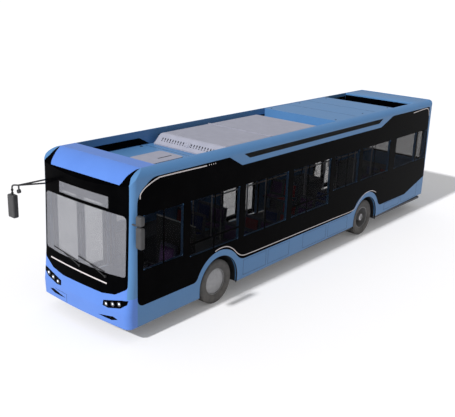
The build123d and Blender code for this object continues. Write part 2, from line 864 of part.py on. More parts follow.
# Floor with the four wheel boxes and the step under the rear bench.
bench_start = 11040
bench_z = 1120
bench_wall = 25
platform_start = 330
platform_end = 1900
platform_in = 130
platform_z = 520
box_sides = ((front_axle_y, front_box_x), (rear_axle_y, rear_box_x))
floor_front = plan_outline(floor_z, rake, wall, side_start + overrun)
with BuildPart() as floor:
    extrude(floor_front, amount=floor_thickness, dir=(0, 0, 1))
    with Locations((0, (station(side_start) + station(side_end)) / 2, floor_z + floor_thickness / 2)):
        Box(2 * inner_half, side_end - side_start, floor_thickness)
    for axle_y, box_x in box_sides:
        for side in (1, -1):
            box_mid_x = side * (box_x - box_wall + inner_half) / 2
            with Locations((box_mid_x, axle_y, floor_z + floor_thickness / 2)):
                Box(inner_half - box_x + box_wall, 2 * box_reach, floor_thickness, mode=Mode.SUBTRACT)
finish_part(floor.part, "floor")

# Raised parts of the floor: wheel boxes, the driver's platform and the box under the rear bench.
with BuildPart() as raised_floor:
    for axle_y, box_x in box_sides:
        for side in (1, -1):
            box_mid_x = side * (box_x - box_wall + inner_half) / 2
            with Locations((box_mid_x, axle_y, (floor_z + box_top) / 2)):
                Box(inner_half - box_x + box_wall, 2 * box_reach, box_top - floor_z)
    for axle_y, box_x in box_sides:
        for side in (1, -1):
            with Locations((side * (box_x + inner_half) / 2, axle_y, (floor_z + box_top - box_wall) / 2)):
                Box(
                    inner_half - box_x,
                    2 * (box_reach - box_wall),
                    box_top - box_wall - floor_z,
                    mode=Mode.SUBTRACT,
                )
    with Locations((0, station(bench_start + bench_wall / 2), (floor_top + bench_z) / 2)):
        Box(2 * inner_half, bench_wall, bench_z - floor_top)
    with Locations((0, station((bench_start + side_end) / 2), bench_z - bench_wall / 2)):
        Box(2 * inner_half, side_end - bench_start, bench_wall)
    platform_mid_x = (platform_in + inner_half) / 2
    platform_mid_y = station((platform_start + platform_end) / 2)
    with Locations((platform_mid_x, platform_mid_y, (floor_top + platform_z) / 2)):
        Box(inner_half - platform_in, platform_end - platform_start, platform_z - floor_top)
finish_part(raised_floor.part, "raised_floor")

# Drive unit under the rear bench, one plain block.
drive_half = 700
drive_low = 400
drive_high = 1060
drive_start = 11150
drive_end = 11850
with BuildPart() as drive_block:
    with Locations((0, station((drive_start + drive_end) / 2), (drive_low + drive_high) / 2)):
        Box(2 * drive_half, drive_end - drive_start, drive_high - drive_low)
    with Locations((0, station((drive_start + drive_end) / 2), (floor_top + drive_low) / 2)):
        with GridLocations(drive_half, drive_half / 2, 2, 2):
            Box(overrun / 2, overrun / 2, drive_low - floor_top)
finish_part(drive_block.part, "drive_block")

# Underframe: three ladder frames below the floor, with towing eyes and jacking pads.
rail_x = 350
rail_width = 80
rail_depth = 60
axle_gap = 320
tow_depth = 30
tow_half = 60
tow_bore = 25
tow_run = 200
tow_front_s = 170
tow_rear_s = length - 70
frame_start = 330
frame_ends = (
    (frame_start, front_overhang - axle_gap, 2),
    (front_overhang + axle_gap, front_overhang + wheelbase - axle_gap, 6),
    (front_overhang + wheelbase + axle_gap, length - rear_corner, 4),
)
with BuildPart() as underframe:
    for frame_from, frame_to, bearers in frame_ends:
        frame_mid_y = station((frame_from + frame_to) / 2)
        with Locations((0, frame_mid_y, floor_z - rail_depth / 2)):
            with GridLocations(2 * rail_x, rail_width, 2, 1):
                Box(rail_width, frame_to - frame_from, rail_depth)
        for bearer in range(bearers):
            bearer_s = frame_from + rail_width / 2
            bearer_s += bearer * (frame_to - frame_from - rail_width) / (bearers - 1)
            with Locations((0, station(bearer_s), floor_z - rail_depth / 2)):
                Box(2 * rail_x, rail_width, rail_depth)
    for tow_s, way in ((tow_front_s, 1), (tow_rear_s, -1)):
        with Locations((0, station(tow_s + way * tow_run / 2), floor_z - rail_depth + tow_depth / 2)):
            Box(2 * tow_half, tow_run, tow_depth)
        with Locations((0, station(tow_s), floor_z - rail_depth + tow_depth / 2)):
            Cylinder(tow_half, tow_depth)
            Cylinder(tow_bore, tow_depth, mode=Mode.SUBTRACT)
finish_part(underframe.part, "underframe")

# Front axle beam: a dropped beam with raised ends, kingpins and spring pads.
kingpin_x = 900
kingpin_radius = 25
pin_gap = 0.5
beam_low = 210
beam_high = 295
beam_half = 55
beam_end = 60
knuckle_low = tyre_radius - 95
knuckle_high = tyre_radius + 95
pad_x = 430
pad_half = 50
thrust_gap = 0.4
with BuildPart() as front_axle:
    with Locations((0, front_axle_y, (beam_low + beam_high) / 2)):
        Box(2 * (kingpin_x - beam_end), 2 * beam_half, beam_high - beam_low)
    for side in (1, -1):
        with BuildSketch(Plane.XZ.offset(-front_axle_y)):
            with BuildLine():
                Polyline(
                    (side * (kingpin_x - 3 * beam_end), beam_low),
                    (side * (kingpin_x - beam_end), beam_low),
                    (side * (kingpin_x + beam_end * 0.8), beam_high - beam_half / 2),
                    (side * (kingpin_x + beam_end * 0.8), knuckle_low - thrust_gap),
                    (side * (kingpin_x - beam_end), knuckle_low - thrust_gap),
                    (side * (kingpin_x - 3 * beam_end), beam_high),
                    close=True,
                )
            make_face()
        extrude(amount=beam_half * 0.9, both=True)
        with Locations((side * kingpin_x, front_axle_y, (beam_high + knuckle_high + beam_half / 2) / 2)):
            Cylinder(kingpin_radius, knuckle_high + beam_half / 2 - beam_high)
        with Locations((side * pad_x, front_axle_y, (beam_high + floor_z) / 2)):
            Box(2 * pad_half, 2 * pad_half, floor_z - beam_high)
finish_part(front_axle.part, "front_axle_beam")

# Rear axle: a dropped beam with two upright gear housings that carry the spindles.
portal_gap = 12
rear_inner_x = wheel_x - dual_spacing
portal_outer_x = rear_inner_x - tyre_width / 2 - portal_gap
portal_width = 42
portal_half = 120
rear_beam_half = 85
rear_beam_low = 200
spindle_end = wheel_x + tyre_width / 4
spindle_length = spindle_end - portal_outer_x
with BuildPart() as rear_axle:
    with Locations((0, rear_axle_y, (rear_beam_low + beam_high) / 2)):
        Box(2 * portal_outer_x, 2 * rear_beam_half, beam_high - rear_beam_low)
    with Locations((0, rear_axle_y, (rear_beam_low + beam_high) / 2)):
        Cylinder(rear_beam_half * 1.6, beam_high - rear_beam_low)
    for side in (1, -1):
        with BuildSketch(Plane.YZ.offset(side_offset(side, portal_outer_x - portal_width, portal_width))):
            with Locations((rear_axle_y, tyre_radius)):
                Circle(portal_half)
            with Locations((rear_axle_y, (rear_beam_low + tyre_radius) / 2)):
                Rectangle(2 * rear_beam_half, tyre_radius - rear_beam_low)
        extrude(amount=portal_width)
        with BuildSketch(Plane.YZ.offset(side_offset(side, portal_outer_x, spindle_length))):
            with Locations((rear_axle_y, tyre_radius)):
                Circle(spindle_radius)
        extrude(amount=spindle_length)
        with Locations((side * pad_x, rear_axle_y, (beam_high + floor_z) / 2)):
            Box(2 * pad_half, 2 * pad_half, floor_z - beam_high)
finish_part(rear_axle.part, "rear_axle")

# Steering knuckles: a barrel on the kingpin and a spindle for the hub.
barrel_radius = 55
front_spindle_end = wheel_x + tyre_width / 4
for name, side in (("left", 1), ("right", -1)):
    with BuildPart() as knuckle:
        with Locations((side * kingpin_x, front_axle_y, (knuckle_low + knuckle_high) / 2)):
            Cylinder(barrel_radius, knuckle_high - knuckle_low)
        spindle_run = front_spindle_end - kingpin_x
        with BuildSketch(Plane.YZ.offset(side_offset(side, kingpin_x, spindle_run))):
            with Locations((front_axle_y, tyre_radius)):
                Circle(spindle_radius)
        extrude(amount=spindle_run)
        with Locations((side * kingpin_x, front_axle_y, (knuckle_low + knuckle_high) / 2)):
            Cylinder(kingpin_radius + pin_gap, knuckle_high - knuckle_low, mode=Mode.SUBTRACT)
    finish_part(knuckle.part, f"knuckle_{name}")

# Tyres: one ring at the front corners, a pair at the rear corners.
shoulder_radius = 38
bead_width = 210
wheel_places = (
    ("front_left", 1, front_axle_y, (wheel_x,)),
    ("front_right", -1, front_axle_y, (wheel_x,)),
    ("rear_left", 1, rear_axle_y, (wheel_x, rear_inner_x)),
    ("rear_right", -1, rear_axle_y, (wheel_x, rear_inner_x)),
)


def wheel_plane(x, axle_y):
    """Plane through a wheel's middle whose local x runs along the axle."""
    return Plane((x, axle_y, tyre_radius), x_dir=(1, 0, 0), z_dir=(0, -1, 0))


for name, side, axle_y, places in wheel_places:
    with BuildPart() as tyre:
        for place in places:
            with BuildSketch(wheel_plane(side * place, axle_y)):
                with BuildLine():
                    side_wall_half = tyre_width / 2
                    tread_r = tyre_radius
                    Polyline(
                        (-bead_width / 2, rim_radius),
                        (bead_width / 2, rim_radius),
                        (side_wall_half, (rim_radius + tread_r) / 2),
                        (side_wall_half, tread_r - shoulder_radius),
                    )
                    Line((side_wall_half, tread_r - shoulder_radius), (side_wall_half - shoulder_radius, tread_r))
                    Line((side_wall_half - shoulder_radius, tread_r), (shoulder_radius - side_wall_half, tread_r))
                    Line((shoulder_radius - side_wall_half, tread_r), (-side_wall_half, tread_r - shoulder_radius))
                    Polyline(
                        (-side_wall_half, tread_r - shoulder_radius),
                        (-side_wall_half, (rim_radius + tread_r) / 2),
                        (-bead_width / 2, rim_radius),
                    )
                make_face()
            revolve(axis=Axis((side * place, axle_y, tyre_radius), (1, 0, 0)))
    finish_part(tyre.part, f"tyre_{name}")

# Front rims: a barrel, a nearly flat disc near the outer face and a hub on the spindle.
disc_wall = 14
disc_x = 78
hub_bore = spindle_radius + pin_gap
hub_inner = 60
cap_wall = 20
vent_hole = 22
vent_ring = 195
vent_holes = 8
for name, side, axle_y, places in wheel_places[:2]:
    with BuildPart() as rim:
        outer_x = wheel_x + disc_x
        with BuildSketch(wheel_plane(side * wheel_x, axle_y)):
            with Locations((0, rim_radius - rim_wall / 2)):
                Rectangle(bead_width, rim_wall)
            with Locations((side * disc_x, rim_radius / 2)):
                Rectangle(disc_wall, rim_radius)
            with Locations((side * (disc_x - hub_inner) / 2, hub_radius / 2)):
                Rectangle(disc_x + hub_inner, hub_radius)
            with Locations((side * (disc_x + cap_wall), hub_radius / 2)):
                Rectangle(2 * cap_wall, hub_radius)
        revolve(axis=Axis((side * wheel_x, axle_y, tyre_radius), (1, 0, 0)))
        bore_run = front_spindle_end + thrust_gap - (wheel_x - hub_inner - overrun)
        with BuildSketch(
            Plane.YZ.offset(side_offset(side, wheel_x - hub_inner - overrun, bore_run))
        ):
            with Locations((axle_y, tyre_radius)):
                Circle(hub_bore)
        extrude(amount=bore_run, mode=Mode.SUBTRACT)
        with BuildSketch(Plane.YZ.offset(side_offset(side, outer_x - disc_wall, 2 * disc_wall))):
            with Locations((axle_y, tyre_radius)):
                with PolarLocations(vent_ring, vent_holes):
                    Circle(vent_hole)
        extrude(amount=2 * disc_wall, mode=Mode.SUBTRACT)
    finish_part(rim.part, f"rim_{name}")

# Rear rims: two barrels on one deep disc with the hub standing in the dish.
for name, side, axle_y, places in wheel_places[2:]:
    mid_x = (wheel_x + rear_inner_x) / 2
    with BuildPart() as rim:
        with BuildSketch(wheel_plane(side * mid_x, axle_y)):
            with Locations((0, rim_radius - rim_wall / 2)):
                Rectangle(dual_spacing + bead_width, rim_wall)
            with Locations((0, rim_radius / 2)):
                Rectangle(2 * disc_wall, rim_radius)
            hub_from = rear_inner_x - tyre_width / 3 - mid_x
            hub_to = spindle_end + cap_wall - mid_x
            with Locations((side * (hub_from + hub_to) / 2, hub_radius / 2)):
                Rectangle(hub_to - hub_from, hub_radius)
        revolve(axis=Axis((side * mid_x, axle_y, tyre_radius), (1, 0, 0)))
        bore_run = spindle_end + thrust_gap - (rear_inner_x - tyre_width)
        with BuildSketch(Plane.YZ.offset(side_offset(side, rear_inner_x - tyre_width, bore_run))):
            with Locations((axle_y, tyre_radius)):
                Circle(hub_bore)
        extrude(amount=bore_run, mode=Mode.SUBTRACT)
        with BuildSketch(Plane.YZ.offset(side_offset(side, mid_x - 2 * disc_wall, 4 * disc_wall))):
            with Locations((axle_y, tyre_radius)):
                with PolarLocations(vent_ring, vent_holes):
                    Circle(vent_hole)
        extrude(amount=4 * disc_wall, mode=Mode.SUBTRACT)
    finish_part(rim.part, f"rim_{name}")

# Doors: each leaf hangs on two arms of a turning post and glides into the cabin.
post_radius = 22
post_x = 1170
leaf_x = 1245
leaf_thickness = 40
post_behind = 45
jamb_gap = 20
arm_thickness = 12
arm_half = 18
leaf_low = 410
leaf_drop = 40
leaf_high = door_top - leaf_drop
lug_thickness = 10
lug_gap = 2
arm_low = 384
arm_high = leaf_high + lug_thickness + lug_gap
leaf_rail = 70
leaf_kick = 120
lug_half = 24
lug_pin = 8
header_height = 160
header_depth = 120
for door_name, start, clear in doorways:
    jamb_a = station(start)
    jamb_b = jamb_a + clear
    arm = (clear / 2 - running_gap - leaf_thickness + post_behind) / 2
    leaf_width = clear / 2 - running_gap - jamb_gap
    for number, jamb, way in ((1, jamb_a, 1), (2, jamb_b, -1)):
        post_y = jamb - way * post_behind
        pivot_y = post_y + way * arm
        leaf_y = jamb + way * (jamb_gap + leaf_width / 2)
        with BuildPart() as post:
            with Locations((-post_x, post_y, (floor_top + seat_gap + door_top - seat_gap) / 2)):
                Cylinder(post_radius, door_top - floor_top - 2 * seat_gap)
            for arm_z in (arm_low, arm_high):
                with Locations((-post_x, (post_y + pivot_y) / 2, arm_z + arm_thickness / 2)):
                    Box(2 * arm_half, arm, arm_thickness)
                with Locations((-post_x, pivot_y, arm_z + arm_thickness / 2)):
                    Cylinder(arm_half, arm_thickness)
                    Cylinder(lug_pin + pin_gap, arm_thickness, mode=Mode.SUBTRACT)
        finish_part(post.part, f"{door_name}_door_post_{number}")
        with BuildPart() as leaf:
            with BuildSketch(Plane.YZ.offset(-leaf_x - leaf_thickness / 2)):
                with Locations((leaf_y, (leaf_low + leaf_high) / 2)):
                    RectangleRounded(leaf_width, leaf_high - leaf_low, window_radius / 2)
                with Locations((leaf_y, (leaf_low + leaf_kick + leaf_high - leaf_rail) / 2)):
                    RectangleRounded(
                        leaf_width - 2 * leaf_rail,
                        leaf_high - leaf_low - leaf_kick - leaf_rail,
                        window_radius / 2,
                        mode=Mode.SUBTRACT,
                    )
            extrude(amount=leaf_thickness)
            for lug_z, pin_z in ((leaf_low - lug_thickness, arm_low), (leaf_high, leaf_high)):
                with Locations((-(leaf_x + post_x) / 2, pivot_y, lug_z + lug_thickness / 2)):
                    Box(leaf_x - post_x, 2 * lug_half, lug_thickness)
                with Locations((-post_x, pivot_y, lug_z + lug_thickness / 2)):
                    Cylinder(lug_half, lug_thickness)
            pin_rise = leaf_low - arm_low
            with Locations((-post_x, pivot_y, arm_low + pin_rise / 2)):
                Cylinder(lug_pin, pin_rise)
            pin_rise = arm_high + arm_thickness - leaf_high
            with Locations((-post_x, pivot_y, leaf_high + pin_rise / 2)):
                Cylinder(lug_pin, pin_rise)
        finish_part(leaf.part, f"{door_name}_door_leaf_{number}")
        with BuildPart() as pane:
            with BuildSketch(Plane.YZ.offset(-leaf_x - leaf_thickness / 2)):
                with Locations((leaf_y, (leaf_low + leaf_kick + leaf_high - leaf_rail) / 2)):
                    RectangleRounded(
                        leaf_width - 2 * leaf_rail,
                        leaf_high - leaf_low - leaf_kick - leaf_rail,
                        window_radius / 2,
                    )
            extrude(amount=glass)
        finish_part(pane.part, f"{door_name}_door_pane_{number}")

# Door headers: the covers of the door gear, over the posts' upper bearings.
with BuildPart() as headers:
    for door_name, start, clear in doorways:
        header_y = station(start) + clear / 2
        with Locations((header_depth / 2 - inner_half, header_y, door_top + header_height / 2)):
            Box(header_depth, clear + 3 * post_behind, header_height)
    fillet(headers.edges().filter_by(Axis.Y).group_by(Axis.X)[-1], fairing_wall)
finish_part(headers.part, "door_headers")
# Seats: moulded shells on pedestals, in pairs along both sides.
seat_width = 430
seat_depth = 430
seat_height = 900
seat_cushion_z = 430
seat_shell = 60
pedestal_width = 60
seat_wall_gap = 35
seat_spacing = 445
cab_seat_x = 680
# Columns: seat row's place in spans, sides, and seats in the row.
row_shares = (
    (1.1529, (1, -1), 2),
    (1.2780, (1, -1), 2),
    (1.4030, (1,), 2),
    (1.5281, (1,), 2),
    (1.6531, (1,), 2),
    (1.7782, (1, -1), 2),
    (2.2931, (1,), 2),
    (2.4483, (1,), 2),
)
# Side view of a seat. Columns: distance behind its front as a share of the depth, height share.
seat_shares = (
    (0.00, 0.48),
    (0.02, 0.535),
    (0.72, 0.50),
    (0.86, 0.98),
    (0.96, 1.00),
    (1.00, 0.98),
    (0.88, 0.44),
    (0.80, 0.42),
)
# Side view of the pedestal in the same columns.
pedestal_shares = ((0.25, 0), (0.75, 0), (0.70, 0.45), (0.20, 0.50))
seat_places = []
for row_share, sides, seats_in_row in row_shares:
    for side in sides:
        for seat in range(seats_in_row):
            seat_x = side * (inner_half - seat_wall_gap - seat_width / 2 - seat * seat_spacing)
            seat_places.append((seat_x, station(along(row_share)), floor_top))
bench_seats = 3
for seat in range(bench_seats):
    bench_x = inner_half - seat_wall_gap - seat_width / 2 - seat * seat_spacing
    seat_places.append((bench_x, station(bench_start - seat_depth * 1.05), floor_top))
seat_places.append((cab_seat_x, station(platform_end - seat_depth * 1.4), platform_z))
with BuildPart() as seats:
    for seat_x, seat_y, base_z in seat_places:
        for outline_shares, outline_width in ((seat_shares, seat_width), (pedestal_shares, pedestal_width)):
            with BuildSketch(Plane.YZ.offset(seat_x - outline_width / 2)):
                with BuildLine():
                    Polyline(
                        *[(seat_y + a * seat_depth, base_z + b * seat_height) for a, b in outline_shares],
                        close=True,
                    )
                make_face()
            extrude(amount=outline_width)
finish_part(seats.part, "seats")

# Handrails: poles from floor to ceiling with a rail along each side of the aisle.
pole_radius = 17
pole_x = inner_half - seat_wall_gap - seat_width - seat_spacing - pole_radius * 1.6
hand_rail_z = 1930
pole_shares = (1.1429, 1.3062, 1.4696, 1.7479, 1.8992, 2.2759, 2.5517)
pole_stations = [along(pole_share) for pole_share in pole_shares]
with BuildPart() as handrails:
    for side in (1, -1):
        for pole_s in pole_stations:
            with Locations((side * pole_x, station(pole_s), (floor_top + cant_z) / 2)):
                Cylinder(pole_radius, cant_z - floor_top)
        rail_run = pole_stations[-1] - pole_stations[0]
        with Locations((side * pole_x, station((pole_stations[-1] + pole_stations[0]) / 2), hand_rail_z)):
            Cylinder(pole_radius, rail_run, rotation=(90, 0, 0))
finish_part(handrails.part, "handrails")

# Driver's console across the platform and the half partition behind the driver.
console_in = 170
console_out = 1180
console_front = 345
console_depth = 480
console_rise = 640
# Side view. Columns: distance behind the console's front and height over the platform, as shares.
console_shares = ((0, 0), (0, 0.94), (0.55, 1), (1, 0.84), (0.95, 0.70), (0.45, 0.58), (0.38, 0))
partition_wall = 20
partition_top = 1850
with BuildPart() as console:
    with BuildSketch(Plane.YZ.offset(console_in)):
        with BuildLine():
            Polyline(
                *[
                    (station(console_front + a * console_depth), platform_z + b * console_rise)
                    for a, b in console_shares
                ],
                close=True,
            )
        make_face()
    extrude(amount=console_out - console_in)
    with Locations(
        (
            (platform_in + inner_half) / 2,
            station(platform_end - partition_wall / 2),
            (platform_z + partition_top) / 2,
        )
    ):
        Box(inner_half - platform_in, partition_wall, partition_top - platform_z)
finish_part(console.part, "driver_console")

# Steering wheel: a rim with three spokes on a leaning column that stands on the platform.
steer_radius = 225
steer_tube = 15
steer_hub = 45
steer_lean = 25
steer_s = 1130
steer_z = 1180
column_radius = 38
steer_center = (cab_seat_x, station(steer_s), steer_z)
steer_plane = Plane(steer_center).rotated((-steer_lean, 0, 0))
column_run = (steer_z - platform_z) / math.cos(math.radians(steer_lean)) + column_radius * 2
with BuildPart() as steering_wheel:
    with BuildSketch(steer_plane.rotated((90, 0, 0))):
        with Locations((steer_radius, 0)):
            Circle(steer_tube)
    revolve(axis=Axis(steer_center, steer_plane.z_dir))
    with BuildSketch(steer_plane):
        Circle(steer_hub)
        with PolarLocations(steer_radius / 2, 3, start_angle=30):
            Rectangle(steer_radius, steer_tube * 1.6)
    extrude(amount=steer_tube / 2, both=True)
    with BuildSketch(steer_plane):
        Circle(column_radius)
    extrude(amount=-column_run)
    split(bisect_by=Plane.XY.offset(platform_z), keep=Keep.TOP)
finish_part(steering_wheel.part, "steering_wheel")

# Mirrors: heads on bent tubes, the kerb side one far ahead, the other pair beside the post.
mirror_tube = 16
kerb_head = (200, 120, 460)
kerb_head_drop = 250
kerb_head_z = window_top - kerb_head_drop
kerb_head_x = kerb_head[0] / 2 - mirror_span / 2
kerb_head_s = kerb_head[1] / 2 - mirror_reach
kerb_root_x = -1235
kerb_root_s = 260
kerb_lifts = (100, 180, 165)
kerb_root_z = window_top + kerb_lifts[0]
kerb_top_z = window_top + kerb_lifts[1]
kerb_elbow_z = window_top + kerb_lifts[2]
kerb_elbow_s = -360
spot_radius = 40
spot_depth = 50
spot_lift = 45
spot_z = window_top + spot_lift
street_head = (150, 100, 400)
street_small = (150, 100, 175)
street_head_drop = 332
street_head_z = window_top - street_head_drop
street_head_s = 220
street_root_x = 1130
head_round = 28
kerb_top = kerb_head_z + kerb_head[2] / 2
kerb_path = (
    (kerb_root_x, station(kerb_root_s), kerb_root_z),
    (kerb_head_x + kerb_head[0] / 2, station(kerb_elbow_s), kerb_elbow_z),
    (kerb_head_x, station(kerb_head_s), kerb_elbow_z),
    (kerb_head_x, station(kerb_head_s), kerb_top - mirror_tube),
)
kerb_stay = (
    (kerb_root_x, station(kerb_root_s), kerb_top_z),
    (kerb_head_x + kerb_head[0] / 2, station(kerb_elbow_s), kerb_elbow_z),
)
street_x = mirror_span / 2 - street_head[0] / 2
street_arm_z = street_head_z + street_head[2] / 2 + mirror_tube
street_small_z = street_arm_z + mirror_tube + street_small[2] / 2
street_path = (
    (street_root_x, station(overrun), street_arm_z),
    (street_x, station(street_head_s), street_arm_z),
)


def tube_along(points, radius):
    """Round tube through the points with bent corners."""
    with BuildPart() as tube:
        with BuildLine() as path:
            if len(points) > 2:
                FilletPolyline(*points, radius=radius * 3)
            else:
                Line(*points)
        with BuildSketch(Plane(path.line @ 0, z_dir=path.line % 0)):
            Circle(radius)
        sweep(path=path.line)
    return tube.part


mirror_tubes = [tube_along(points, mirror_tube) for points in (kerb_path, kerb_stay, street_path)]
with BuildPart() as mirrors:
    with Locations((kerb_head_x, station(kerb_head_s), kerb_head_z)):
        Box(*kerb_head)
    with Locations((street_x, station(street_head_s), street_head_z)):
        Box(*street_head)
    with Locations((street_x, station(street_head_s), street_small_z)):
        Box(*street_small)
    fillet(mirrors.edges(), head_round)
    for tube in mirror_tubes:
        add(tube)
    with Locations((street_x, station(street_head_s), (street_head_z + street_small_z) / 2)):
        Cylinder(mirror_tube, street_small_z - street_head_z)
    with Locations((kerb_head_x + kerb_head[0] / 2, station(kerb_elbow_s), spot_z)):
        Cylinder(spot_radius, spot_depth, rotation=(90, 0, 0))
    with Locations((kerb_head_x + kerb_head[0] / 2, station(kerb_elbow_s), (spot_z + kerb_elbow_z) / 2)):
        Cylinder(mirror_tube, kerb_elbow_z - spot_z)
    add(front_outer, mode=Mode.SUBTRACT)
finish_part(mirrors.part, "mirrors")
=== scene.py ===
import logging
import math
from collections.abc import Callable, Sequence
from dataclasses import dataclass, field
from enum import Enum

import bpy
from mathutils import Matrix, Vector


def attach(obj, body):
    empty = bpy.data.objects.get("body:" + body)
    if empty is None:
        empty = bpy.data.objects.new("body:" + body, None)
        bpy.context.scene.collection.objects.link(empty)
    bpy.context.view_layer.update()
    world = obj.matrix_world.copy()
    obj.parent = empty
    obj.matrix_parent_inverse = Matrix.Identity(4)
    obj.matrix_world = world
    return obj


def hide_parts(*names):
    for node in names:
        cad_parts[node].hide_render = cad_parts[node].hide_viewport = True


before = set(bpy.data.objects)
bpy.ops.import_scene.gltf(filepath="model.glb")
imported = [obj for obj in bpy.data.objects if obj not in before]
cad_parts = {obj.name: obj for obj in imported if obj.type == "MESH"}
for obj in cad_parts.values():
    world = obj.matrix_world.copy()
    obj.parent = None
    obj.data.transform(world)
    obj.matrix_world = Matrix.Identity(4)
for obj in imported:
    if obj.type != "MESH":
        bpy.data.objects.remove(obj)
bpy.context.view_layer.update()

PACKED_MATERIALS = frozenset(material.name for material in bpy.data.materials)
LOG = logging.getLogger("city_bus")
FRONT_Y = -5.750
FRONT_AXLE_AT = 2.570
REAR_AXLE_AT = 8.520
WHEEL_CENTRE = 0.478
SIDES = (("left", 1), ("right", -1))
DOORWAYS = (("front", 0.3600, 1.370), ("middle", 5.4996, 1.450), ("rear", 9.6996, 1.170))
Point = tuple[float, float, float]


def station(distance: float) -> float:
    """Y of a place measured back from the front face, in metres."""
    return FRONT_Y + distance


def tone(red: int, green: int, blue: int) -> tuple[float, float, float]:
    """Linear colour of a paint chip given on a 0 to 255 scale."""
    def linear(value: int) -> float:
        share = value / 255
        return share / 12.92 if share <= 0.04045 else ((share + 0.055) / 1.055) ** 2.4
    return linear(red), linear(green), linear(blue)


class Pattern(Enum):
    """How a finish varies over a surface."""

    CLOUD = "soft uneven patches"
    SPECKLE = "small flecks"
    BRUSHED = "fine lines along the length"
    WEAVE = "crossing threads"
    PEBBLE = "moulded grain"


